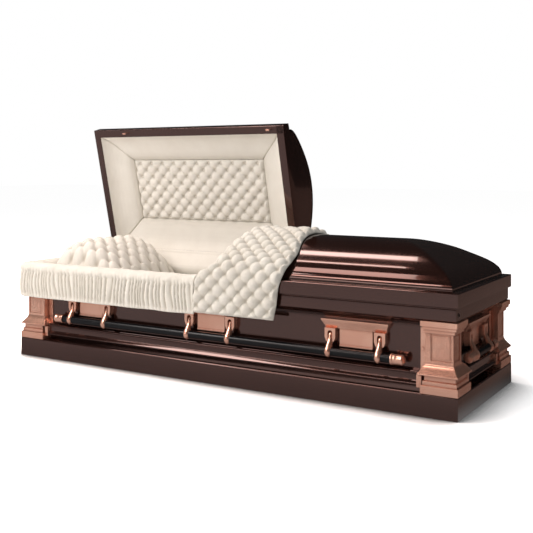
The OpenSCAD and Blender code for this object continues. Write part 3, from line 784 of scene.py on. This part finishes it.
BORDER_STEP = 0.006
SEAM_WIDTH, SEAM_DEPTH = 0.004, 0.0045
BORDER_IN = [0, 0.006, 0.014, 0.025, 0.038, 0.055, 0.075, 0.095, 0.118, 0.136, 0.140]
BORDER_UP = [0.0035, 0.011, 0.021, 0.0310, 0.0395, 0.0470, 0.0535, 0.0590, 0.0670, 0.0770, 0.0870]


def border_mesh(x_out, x_split):
    """The coved border as four mitred runs that meet in shallow seams."""
    x0, x1 = sorted((x_out, x_split))
    x0, x1, y1 = x0 + FLANGE, x1 - FLANGE, HALF_W - FLANGE
    corners = [(x0, -y1), (x1, -y1), (x1, y1), (x0, y1)]
    verts, faces, painted_shade_values = [], [], []
    steps = list(np.linspace(0, BORDER, 36))
    inward = ((0, 1), (-1, 0), (0, -1), (1, 0))
    for (ax, ay), (bx, by), (dx, dy) in zip(corners, corners[1:] + corners[:1], inward):
        length = math.dist((ax, ay), (bx, by))
        tx, ty = (bx - ax) / length, (by - ay) / length
        count = int(length / BORDER_STEP)
        base = len(verts)
        for i in range(count + 1):
            f = i / count
            for s in steps:
                a = s + (length - 2 * s) * f
                near = min(a - s, length - s - a)
                mitre = math.exp(-(max(0, near) / SEAM_WIDTH) ** 2)
                pull = 0.0012 * wobble(a * 1.5, s * 2.5, 22, dx + 2 * dy) * math.exp(-near * 8)
                z = RIM_Z + float(np.interp(s, BORDER_IN, BORDER_UP)) + SEAM_DEPTH * mitre * min(1, s / 0.01)
                z += pull * min(1, s / 0.02) * min(1, (BORDER - s) / 0.01)
                verts.append((ax + tx * a + dx * s, ay + ty * a + dy * s, z))
                # Painted shade along the mitre seams and in the crease at the border's inner edge.
                painted_shade_values.append(0.25 * mitre + 0.30 * math.exp(-((BORDER - s) / 0.030) ** 2))
            # The inner back edge gets painted shade too, the outer one none.
            for s, z, depth in ((BORDER, RIM_Z + PAD_DEPTH + 0.021, 0.35), (0.0, RIM_Z + 0.030, 0.0)):
                a = s + (length - 2 * s) * f
                verts.append((ax + tx * a + dx * s, ay + ty * a + dy * s, z))
                painted_shade_values.append(depth)
        faces += band_faces(count + 1, len(steps) + 2, base)
    return verts, faces, painted_shade_values


def button_distance(a, b, px, py):
    """Distance from a point of diamond tufting to its nearest button."""
    da, db = a - round(a), b - round(b)
    return math.hypot(px * (da + db) / 2, py * (da - db) / 2)


def tuft(a, b, px, py, power, seam, dimple=0.011):
    """Height of diamond tufting, 0 at the buttons and 1 on the puffs; seam is the share of the seams."""
    far = 1 - math.exp(-(button_distance(a, b, px, py) / dimple) ** 2)
    return seam * (abs(math.sin(math.pi * a)) * abs(math.sin(math.pi * b))) ** power + (1 - seam) * far


def painted_shade_at(a, b, px, py, reach=0.009, seam=0.06):
    """How much painted shade a point of diamond tufting gets: 1 at the buttons, less along the seams."""
    pit = math.exp(-(button_distance(a, b, px, py) / reach) ** 2)
    line = math.exp(-(min(abs(a - round(a)), abs(b - round(b))) * px / 0.006) ** 2)
    return pit + (1 - pit) * seam * line


TUFT_X, TUFT_Y = 0.072, 0.070
PUFF = 0.0190
PANEL_STEP = 0.0036
MARGIN = 0.012


def panel_mesh(x_out, x_split):
    """The tufted panel, puffed towards the opening, and the places of its buttons."""
    x0, x1 = sorted((x_out, x_split))
    inset = FLANGE + BORDER
    x0, x1, y1 = x0 + inset, x1 - inset, HALF_W - inset
    xc = (x0 + x1) / 2
    nx, ny = int((x1 - x0) / PANEL_STEP), int(2 * y1 / PANEL_STEP)
    back = RIM_Z + PAD_DEPTH
    top, bottom, painted_shade_values = [], [], []
    for i in range(nx + 1):
        top.append([])
        bottom.append([])
        for j in range(ny + 1):
            x, y = x0 + (x1 - x0) * i / nx, -y1 + 2 * y1 * j / ny
            a, b = (x - xc) / TUFT_X + y / TUFT_Y, (x - xc) / TUFT_X - y / TUFT_Y
            edge = min(1, min(x - x0, x1 - x, y + y1, y1 - y) / MARGIN)
            h = tuft(a, b, TUFT_X, TUFT_Y, 0.6, 0.55) * (0.3 + 0.7 * edge)
            z = back + 0.010 - PUFF * h * (1 + 0.08 * wobble(x, y, 31)) + 0.0008 * wobble(x, y, 120)
            top[-1].append((x, y, z))
            bottom[-1].append((x, y, back + 0.022))
            # Painted shade at the buttons and along the seams.
            painted_shade_values.append(0.85 * painted_shade_at(a, b, TUFT_X, TUFT_Y))
    turns = range(-16, 17)
    spots = [(xc + TUFT_X * (p + q) / 2, TUFT_Y * (p - q) / 2) for p in turns for q in turns]
    spots = [(x, y) for x, y in spots if x0 + MARGIN < x < x1 - MARGIN and abs(y) < y1 - MARGIN]
    return top, bottom, painted_shade_values, spots


def button_tree():
    """A small domed cloth button on every point."""
    tree = bpy.data.node_groups.new("cloth_buttons", "GeometryNodeTree")
    add = tree.interface.new_socket
    add("Geometry", in_out="INPUT", socket_type="NodeSocketGeometry")
    size = add("Button Radius", in_out="INPUT", socket_type="NodeSocketFloat")
    mat = add("Cloth", in_out="INPUT", socket_type="NodeSocketMaterial")
    add("Geometry", in_out="OUTPUT", socket_type="NodeSocketGeometry")
    start, end = tree.nodes.new("NodeGroupInput"), tree.nodes.new("NodeGroupOutput")
    points, ball, flat, put, real, paint, smooth = [tree.nodes.new("GeometryNode" + kind) for kind in (
        "MeshToPoints", "MeshUVSphere", "Transform", "InstanceOnPoints", "RealizeInstances", "SetMaterial",
        "SetShadeSmooth")]
    set_inputs(ball, {"Segments": 10, "Rings": 6})
    flat.inputs["Scale"].default_value = (1, 1, 0.55)
    for source, output, target, socket in (
            (start, "Geometry", points, "Mesh"), (start, "Button Radius", ball, "Radius"),
            (ball, "Mesh", flat, "Geometry"), (points, "Points", put, "Points"),
            (flat, "Geometry", put, "Instance"), (put, "Instances", real, "Geometry"),
            (real, "Geometry", smooth, "Geometry"), (smooth, "Geometry", paint, "Geometry"),
            (start, "Cloth", paint, "Material"), (paint, "Geometry", end, "Geometry")):
        link(source.outputs[output], target, socket)
    return tree, size.identifier, mat.identifier


BUTTONS, BUTTON_SIZE, BUTTON_CLOTH = button_tree()
BUTTON_R = 0.0042
BUTTON_SET = 0.0085


def buttons(name, points, radius, mat, body, move):
    """Cloth-covered buttons at the given points, as one plain mesh."""
    mesh = bpy.data.meshes.new(name)
    mesh.from_pydata(points, [], [])
    obj = placed(name, mesh)
    mod = obj.modifiers.new("buttons", "NODES")
    mod.node_group = BUTTONS
    mod[BUTTON_SIZE] = radius
    mod[BUTTON_CLOTH] = mat
    settled(obj).transform(move)
    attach(obj, body)


LININGS = (("head_lid", -HALF_L, HEAD_SPLIT, STAND, ["head_lid_border"], ["head_lid_panel"]),
           ("foot_lid", HALF_L, FOOT_SPLIT, Matrix.Identity(4), ["foot_lid_lining"], []))
for lid, x_out, x_split, move, border_nodes, panel_nodes in LININGS:
    verts, faces, painted_shade_values = border_mesh(x_out, x_split)
    verts = [tuple(move @ Vector(v)) for v in verts]
    make(f"{lid}_border_cloth", verts, faces, CREAM, lid, border_nodes, 60, painted_shade_values)
    top, bottom, painted_shade_values, spots = panel_mesh(x_out, x_split)
    top, bottom = [[[tuple(move @ Vector(p)) for p in row] for row in skin] for skin in (top, bottom)]
    grid_solid(f"{lid}_panel_tufted", top, bottom, CREAM, lid, panel_nodes, 180, painted_shade_values)
    points = [(x, y, RIM_Z + PAD_DEPTH + BUTTON_SET) for x, y in spots]
    buttons(f"{lid}_panel_buttons", points, BUTTON_R, CREAM, lid, move)

# ---------------------------------------------------------------- Cloth roll over the rim
# A shirred roll, fixed inside the body, is drawn over the front and head-end rim while the lid is open.
# Its top is a soft roll, and its skirt hangs in close gathers to a narrow hem.

roll_low, roll_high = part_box("extendover")
ROLL_OUT = -HALF_W - roll_low.y
ROLL_BOTTOM = roll_low.z
ROLL_TOP = roll_high.z
ROLL_IN = 0.066
ROLL_STEP = 0.0026
ROLL_FOLD = 0.0120


def gather(s, z):
    """Depth of the gathers, 0 in the valleys and 1 on the folds."""
    phase = s / 0.0205 + 0.42 * math.sin(s * 21) + 0.25 * math.sin(s * 57 + 2.0)
    phase += 0.22 * math.sin(z * 26 + s * 9) + 0.10 * math.sin(s * 133)
    return abs(math.sin(math.pi * phase)) ** 0.62


def roll_section():
    """The roll's closed section: [outward, height, share of gathers, share of soft crumple]."""
    o, zb, zt = ROLL_OUT, ROLL_BOTTOM, ROLL_TOP
    hem = [(0.0085, zb + 0.004, 0.2, 0), (0.0100, zb + 0.001, 0.2, 0), (o - 0.003, zb, 0.25, 0),
           (o - 0.001, zb + 0.003, 0.3, 0), (o, zb + 0.007, 0.35, 0), (o - 0.0005, zb + 0.011, 0.5, 0),
           (o - 0.001, zb + 0.016, 0.8, 0)]
    fall = zt - 0.052 - zb - 0.016
    skirt = [(o - 0.0005 + 0.003 * math.sin(math.pi * f), zb + 0.016 + f * fall, 1.0, 0.1)
             for f in np.linspace(0.08, 1, 16)]
    top = [(0.0030, 0.046, 0.9, 0.2), (0.0020, 0.040, 0.6, 0.5), (0.0005, 0.033, 0.35, 0.8),
           (0.001, 0.026, 0.2, 1), (0.003, 0.019, 0.1, 1), (0.007, 0.012, 0.05, 1), (0.013, 0.006, 0, 1),
           (0.021, 0.002, 0, 1), (0.031, 0, 0, 1), (0.042, 0.0005, 0, 1), (0.052, 0.003, 0, 1),
           (0.062, 0.008, 0, 1), (0.071, 0.015, 0, 1), (0.078, 0.024, 0, 1)]
    under = [(-ROLL_IN + 0.002, zt - 0.034, 0, 0.6), (-ROLL_IN, PART_Z + 0.002, 0, 0),
             (-ROLL_IN + 0.02, PART_Z + 0.0012, 0, 0), (0.0, PART_Z + 0.0012, 0, 0),
             (0.0075, PART_Z + 0.001, 0, 0), (0.0082, zb + 0.02, 0, 0)]
    return hem + skirt + [(o - back, zt - down, g, soft) for back, down, g, soft in top] + under


def roll_mesh(corner=0.030):
    """Sweeps the roll's section round the front and head-end rim."""
    x_end, y_end = roll_high.x - 0.0005, roll_high.y
    x_turn, y_turn = -HALF_L + corner, -HALF_W + corner
    front, arc, end = x_end - x_turn, corner * math.pi / 2 * 1.6, y_end - y_turn
    total = front + arc + end
    count = int(total / ROLL_STEP)
    section = roll_section()
    verts, painted_shade_values = [], []
    for i in range(count + 1):
        s = total * i / count
        px, py = (x_end - s if s <= front else x_turn), y_turn
        turn = 0.0 if s <= front else min(1, (s - front) / arc) * math.pi / 2
        if s > front + arc:
            py += s - front - arc
        dx, dy = -math.sin(turn), -math.cos(turn)
        ends = min(1, s / 0.02, (total - s) / 0.02)
        for out, z, g, soft in section:
            fold = gather(s, z)
            # Painted shade in the valleys between the gathers.
            painted_shade_values.append(0.60 * max(0.0, 1 - 1.2 * fold) * g)
            depth = (fold - 0.85) * ROLL_FOLD * g + soft * 0.0022 * wobble(s * 1.3, z * 3 + out * 6, 47)
            depth += soft * 0.0014 * wobble(s, z * 2 + out * 4, 131, 1.0)
            lift = 0.0020 * wobble(s * 1.2, out * 5, 39, 2.0) + 0.0012 * wobble(s, out * 4, 117, 3.0) - 0.002
            lift *= soft
            if g and z < ROLL_BOTTOM + 0.012:
                lift += 0.0016 * wobble(s, 0.3, 33) + 0.006 * math.sin(2 * turn)
            d = corner + out + depth * ends
            if d < 0:
                x = px if turn == 0 else px - d
                y = py if turn == math.pi / 2 else py - d
            else:
                x, y = px + dx * d, py + dy * d
            verts.append((x, y, z + lift))
    return verts, band_faces(count + 1, len(section), caps=True), painted_shade_values


verts, faces, painted_shade_values = roll_mesh()
roll = make("extendover_shirred", verts, faces, QUILT, "casket_body", ["extendover"], 100,
            painted_shade_values)
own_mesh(roll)

# ---------------------------------------------------------------- Pillow
# A deep pillow in cream crepe, with buttoned columns on its upper face, plain at its outer end.
# It rests on the mattress and fills the head end between the linings.

pil_low, pil_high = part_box("pillow")
PILLOW_COL, PILLOW_ROW = 0.078, 0.074
PILLOW_STEPS = 150
PILLOW_DENT = 0.026
CREST_AT = [0, 0.02, 0.06, 0.14, 0.26, 0.38, 0.50, 0.62, 0.74, 0.86, 0.94, 0.98, 1.0]
CREST_UP = [0.42, 0.60, 0.74, 0.88, 0.97, 1.0, 0.975, 0.89, 0.76, 0.58, 0.38, 0.20, 0.08]


def pillow_mesh():
    """A pillow highest near its outer end, falling away towards the foot, buttoned on its upper side."""
    x0, x1 = pil_low.x, pil_high.x - 0.045
    rise_z = pil_high.z - pil_low.z
    top, bottom, painted_shade_values = [], [], []
    for i in range(PILLOW_STEPS + 1):
        u = (1 - math.cos(math.pi * i / PILLOW_STEPS)) / 2
        h = float(np.interp(u, CREST_AT, CREST_UP))
        top.append([])
        bottom.append([])
        for j in range(PILLOW_STEPS + 1):
            v = -math.cos(math.pi * j / PILLOW_STEPS)
            side = max(0.0, 1 - abs(v) ** 7) ** 0.5
            x = x0 + (x1 - x0) * u
            y = pil_high.y * v * (1 - 0.06 * (2 * u - 1) ** 2)
            full = rise_z * h * (0.12 + 0.88 * side)
            a, b = x / PILLOW_COL + y / PILLOW_ROW, x / PILLOW_COL - y / PILLOW_ROW
            plain = 1 / (1 + math.exp(-(u - 0.17) / 0.025))
            dent = 1 - tuft(a, b, PILLOW_COL, PILLOW_ROW, 0.55, 0.65, 0.013)
            dent *= PILLOW_DENT * plain * min(1, full / 0.08)
            z = pil_low.z + max(0.012, full - dent) + 0.003 * wobble(x, y, 19) * min(1, full / 0.1)
            top[-1].append((x - dent * 0.2 * (1 - 2 * u), y * (1 - 0.03 * dent / 0.02), z))
            bottom[-1].append((x, y, pil_low.z + 0.0005))
            # Painted shade at the buttons and along the seams of the buttoned part.
            painted_shade_values.append(0.75 * painted_shade_at(a, b, PILLOW_COL, PILLOW_ROW, 0.010, 0.10) * plain)
    return top, bottom, painted_shade_values


top, bottom, painted_shade_values = pillow_mesh()
pillow = grid_solid("pillow_buttoned", top, bottom, CREAM, "casket_body", ["pillow"], 180,
                    painted_shade_values)
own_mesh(pillow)

# ---------------------------------------------------------------- Hinge apron
# A smooth cream cloth that hides the hinge of the open head lid.
# It is fixed to the body's lining below and to the lid above.

ap_low, ap_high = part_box("hinge_apron")


def apron_mesh(columns=240):
    """A thin sheet that follows the body's rim and rises to the lid."""
    y0 = ap_low.y
    line = rounded([(y0 + 0.0015, ap_low.z), (y0 + 0.0015, PART_Z - 0.010), (y0 + 0.006, PART_Z + 0.002),
                    (y0 + 0.016, PART_Z + 0.016), (y0 + 0.030, PART_Z + 0.034),
                    (ap_high.y - 0.006, ap_high.z - 0.018), (ap_high.y - 0.002, ap_high.z - 0.002)], 0.02, 3)
    across = [ap_low.x + (ap_high.x - ap_low.x) * i / columns for i in range(columns + 1)]
    return [[[(x, y + back + 0.0012 * wobble(x * 1.4, z * 2, 23), z) for x in across] for y, z in line]
            for back in (0.0, 0.0016)]


front_side, back_side = apron_mesh()
apron = grid_solid("hinge_apron_cloth", front_side, back_side, CREAM, "casket_body", ["hinge_apron"],
                   180)
apron.parent = None
apron.matrix_world = Matrix.Identity(4)
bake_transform(apron)

# ---------------------------------------------------------------- Quilted throw
# A thick diamond-tufted throw in cream velvet, laid over the head end of the foot lid.
# It hangs down the front and rounds over the lid's open end.

throw_low, throw_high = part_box("throw")
QUILT_X, QUILT_Y = 0.068, 0.066
QUILT_PUFF = 0.0200
QUILT_BACK = 0.0006
QUILT_STEP = 0.0032
QUILT_COLUMNS = 126
LEFT_Z = [0.288, 0.329, 0.419, 0.482, 0.560, 0.615]
LEFT_X = [-0.0575, -0.0575, -0.047, -0.022, 0.003, 0.014]
RIGHT_Z = [0.288, 0.348, 0.415, 0.461, 0.511, 0.548, 0.577, 0.602]
RIGHT_X = [0.327, 0.341, 0.349, 0.363, 0.378, 0.366, 0.345, 0.330]


def throw_path():
    """The throw's line across the lid, from the front hem up and over the crown: (y, z)."""
    front = -HALF_W
    pts = [(front - 0.004, throw_low.z), (front - 0.004, BAND_TOP), (front + 0.008, BAND_TOP + 0.030),
           (front + 0.030, LEDGE_Z + 0.053), (front + 0.062, LEDGE_Z + 0.070)]
    over = [(s, LEDGE_Z + rise(s, HALF_W) + 0.0035) for s in np.linspace(0.095, HALF_W, 14)]
    pts += [(s - HALF_W, z) for s, z in over] + [(HALF_W - s, z) for s, z in over[-2::-1]]
    pts += [(HALF_W - 0.062, LEDGE_Z + 0.070), (HALF_W - 0.040, LEDGE_Z + 0.060)]
    line = rounded(pts, 0.045, 5)
    out = [line[0]]
    for p in line[1:]:
        if (p - out[-1]).length > 0.004:
            out.append(p)
    return out


def throw_mesh():
    """The quilt as two skins: a tufted face and a plain back."""
    path = throw_path()
    dist = np.concatenate([[0], np.cumsum([(b - a).length for a, b in zip(path, path[1:])])])
    total = dist[-1]
    n = int(total / QUILT_STEP)
    ts = np.linspace(0, total, n + 1)
    ys = np.interp(ts, dist, [p.x for p in path])
    zs = np.interp(ts, dist, [p.y for p in path])
    kernel = np.ones(13) / 13
    for _ in range(3):
        padded = [np.pad(v, 6, mode="reflect", reflect_type="odd") for v in (ys, zs)]
        ys, zs = (np.convolve(v, kernel, "valid") for v in padded)
    top, bottom, painted_shade_values = [], [], []
    for i, (t, y, z) in enumerate(zip(ts, ys, zs)):
        ty, tz = ys[min(n, i + 1)] - ys[max(0, i - 1)], zs[min(n, i + 1)] - zs[max(0, i - 1)]
        slope = math.hypot(ty, tz)
        ny, nz = -tz / slope, ty / slope
        if y < 0:
            x0, x1 = float(np.interp(z, LEFT_Z, LEFT_X)), float(np.interp(z, RIGHT_Z, RIGHT_X))
        else:
            x0, x1 = float(np.interp(y, [0.16, 0.23], [0.014, 0.090])), 0.330
        over = min(1, max(0, (t - 0.16) / 0.06))
        top.append([])
        bottom.append([])
        for j in range(QUILT_COLUMNS + 1):
            w = j / QUILT_COLUMNS
            x = x0 + (x1 - x0) * w
            drop = (max(0.0, 0.083 - x) * over) ** 2 * 8.0
            a, b = x / QUILT_X + t / QUILT_Y, x / QUILT_X - t / QUILT_Y
            edge = min(1, min(w * (x1 - x0), (1 - w) * (x1 - x0), t, total - t) / 0.014)
            side = math.sin(edge * math.pi / 2)
            puff = QUILT_PUFF * tuft(a, b, QUILT_X, QUILT_Y, 0.6, 0.75, 0.012) * (1 + 0.12 * wobble(x, t, 28))
            h = 0.0045 + 0.0055 * side + (puff - 0.003) * (0.15 + 0.85 * side)
            h += 0.0018 * wobble(x, t, 17, 1.0) * side
            top[-1].append((x, y + ny * h, z - drop + nz * h))
            bottom[-1].append((x, y + ny * QUILT_BACK, z - drop + nz * QUILT_BACK))
            # Painted shade at the buttons and along the seams.
            painted_shade_values.append(0.6 * painted_shade_at(a, b, QUILT_X, QUILT_Y, 0.010, 0.12) * side)
    return top, bottom, painted_shade_values


top, bottom, painted_shade_values = throw_mesh()
throw = grid_solid("throw_quilted", top, bottom, QUILT, "foot_lid", ["throw"], 180, painted_shade_values)
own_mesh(throw)

# ---------------------------------------------------------------- Floor, light and camera
# A pale studio floor with a painted contact shadow close under the casket and painted light beyond the foot end,
# and soft lights in strips above the front.
# The camera stands at the right front, near the foot end.


def ray_share(tree, kind, scale, base):
    """base + scale for rays of one kind, base for the others."""
    path = tree.nodes.new("ShaderNodeLightPath")
    node = tree.nodes.new("ShaderNodeMath")
    node.operation = "MULTIPLY_ADD"
    node.inputs[1].default_value = scale
    node.inputs[2].default_value = base
    link(path.outputs[kind], node, 0)
    return node


floor_mat, tree, shader = new_material("studio_floor")
white = two_tone(tree, noise(tree, 0.6, 1), (0.93, 0.93, 0.93), (0.95, 0.95, 0.95))
link(white, shader, "Base Color")
set_inputs(shader, {"Roughness": 1.0, "Specular IOR Level": 0.0})
out = next(n for n in tree.nodes if n.type == "OUTPUT_MATERIAL")


def join(kind, first, second, share=None):
    """Adds two shaders, or mixes them by the kind of ray."""
    node = tree.nodes.new(kind)
    sockets = [i for i in node.inputs if i.type == "SHADER"]
    tree.links.new(first, sockets[0])
    tree.links.new(second, sockets[1])
    if share:
        link(ray_share(tree, share, 1.0, 0.0).outputs["Value"], node, "Fac")
    return node.outputs["Shader"]


# Painted shadow: an occlusion field greys the floor's colour close under the casket.
painted_contact_shadow = tree.nodes.new("ShaderNodeAmbientOcclusion")
painted_contact_shadow.samples = 8
painted_contact_shadow.inputs["Distance"].default_value = 0.20


def white_with_painted_shadow(level):
    """A diffuse white with a painted contact shadow: grey where something stands close over it."""
    node = tree.nodes.new("ShaderNodeBsdfDiffuse")
    grey = (level * 0.04,) * 3
    shaded = two_tone(tree, painted_contact_shadow.outputs["AO"], grey, (level,) * 3, 0.50, 0.98)
    link(shaded, node, "Color")
    return node.outputs["BSDF"]


place = tree.nodes.new("ShaderNodeTexCoord")
split = tree.nodes.new("ShaderNodeSeparateXYZ")
link(place.outputs["Object"], split, "Vector")
# Painted light: for the camera, the floor glows beyond the foot end, lightening the cast shadow there.
lift = tree.nodes.new("ShaderNodeEmission")
link(spread(tree, split.outputs["X"], 0.0, 0.28, 1.0, 1.2), lift, "Strength")
bright = join("ShaderNodeAddShader", white_with_painted_shadow(0.35), lift.outputs["Emission"])
bright = join("ShaderNodeAddShader", white_with_painted_shadow(0.95), bright)
bright = join("ShaderNodeAddShader", white_with_painted_shadow(0.94), bright)
seen = join("ShaderNodeMixShader", shader.outputs["BSDF"], bright, "Is Camera Ray")
glow = tree.nodes.new("ShaderNodeEmission")
glow_ramp = tree.nodes.new("ShaderNodeValToRGB")
link(spread(tree, split.outputs["Y"], 0.0, 1.0, -2.0, 4.0), glow_ramp, "Fac")
glow_ramp.color_ramp.elements[0].color = (0.60, 0.60, 0.60, 1)
glow_ramp.color_ramp.elements[1].color = (0.30, 0.30, 0.30, 1)
for at, level in ((0.12, 0.60), (0.30, 0.30), (0.42, 0.03), (0.88, 0.03)):
    glow_ramp.color_ramp.elements.new(at).color = (level, level, level, 1)
beyond = spread(tree, split.outputs["X"], 0.0, 1.0, 1.08, 1.16)
link(blended(tree, beyond, glow_ramp.outputs["Color"], (0.150, 0.098, 0.082)), glow, "Color")
lit = join("ShaderNodeMixShader", seen, glow.outputs["Emission"], "Is Glossy Ray")
link(lit, out, "Surface")
SPREAD, FLOOR_Z = 30, -0.0005
mesh = bpy.data.meshes.new("studio_floor")
corners = [(x * SPREAD, y * SPREAD, FLOOR_Z) for x, y in ((-1, -1), (1, -1), (1, 1), (-1, 1))]
mesh.from_pydata(corners, [], [(0, 1, 2, 3)])
floor = placed("studio_floor", mesh)
mesh.materials.append(floor_mat)

world = bpy.data.worlds.new("studio")
bpy.context.scene.world = world
world.use_nodes = True
world.cycles.sampling_method = "NONE"
tree = world.node_tree
sky = tree.nodes["Background"]
sky.inputs["Color"].default_value = (1.0, 1.0, 1.0, 1)
AMBIENT, SEEN, MIRRORED = 0.44, 1.0, 0.02
part = ray_share(tree, "Is Glossy Ray", MIRRORED - AMBIENT, AMBIENT)
whole = ray_share(tree, "Is Camera Ray", SEEN - AMBIENT, 0.0)
link(part.outputs["Value"], whole, 2)
link(whole.outputs["Value"], sky, "Strength")


def softbox(name, place, aim, width, height, power, tone=(1, 1, 1)):
    """A rectangular soft light aimed at a point."""
    light = bpy.data.lights.new(name, "AREA")
    light.shape = "RECTANGLE"
    light.size, light.size_y = width, height
    light.energy = power
    light.color = tone
    obj = placed(name, light)
    obj.location = place
    obj.rotation_euler = (Vector(aim) - Vector(place)).to_track_quat("-Z", "Y").to_euler()


WARM = (1.0, 0.82, 0.76)
softbox("key", (-2.6, -2.6, 3.3), (-0.1, 0, 0.4), 1.5, 1.5, 58, (1.0, 0.985, 0.96))
softbox("low_fill", (-1.9, -4.2, 1.55), (0.2, -0.3, 0.3), 3.6, 1.0, 26, (1.0, 0.96, 0.93))
for name, x, y, z, aim_y, length, width, power in (
        ("strip_back", -1.65, 1.05, 3.0, -0.10, 2.9, 0.24, 18),
        ("strip_top", -1.65, 0.50, 3.0, -0.20, 2.9, 0.09, 8),
        ("strip_over", -1.55, -0.75, 3.0, -0.25, 2.9, 1.00, 46),
        ("strip_front", -1.15, -2.4, 2.1, -0.30, 2.4, 0.45, 26)):
    softbox(name, (x, y, z), (x, aim_y, 0.5), length, width, power, WARM)

camera = bpy.data.cameras.new("camera")
camera.sensor_width = 36.0
camera.lens = 58.57
camera.shift_y = -0.1861
camera.clip_end = 100
cam = placed("camera", camera)
cam.location = (2.06218, -3.25668, 0.88719)
cam.rotation_euler = (math.pi / 2, 0, 0.5446)
bpy.context.scene.camera = cam
bpy.context.scene.view_settings.view_transform = "Standard"
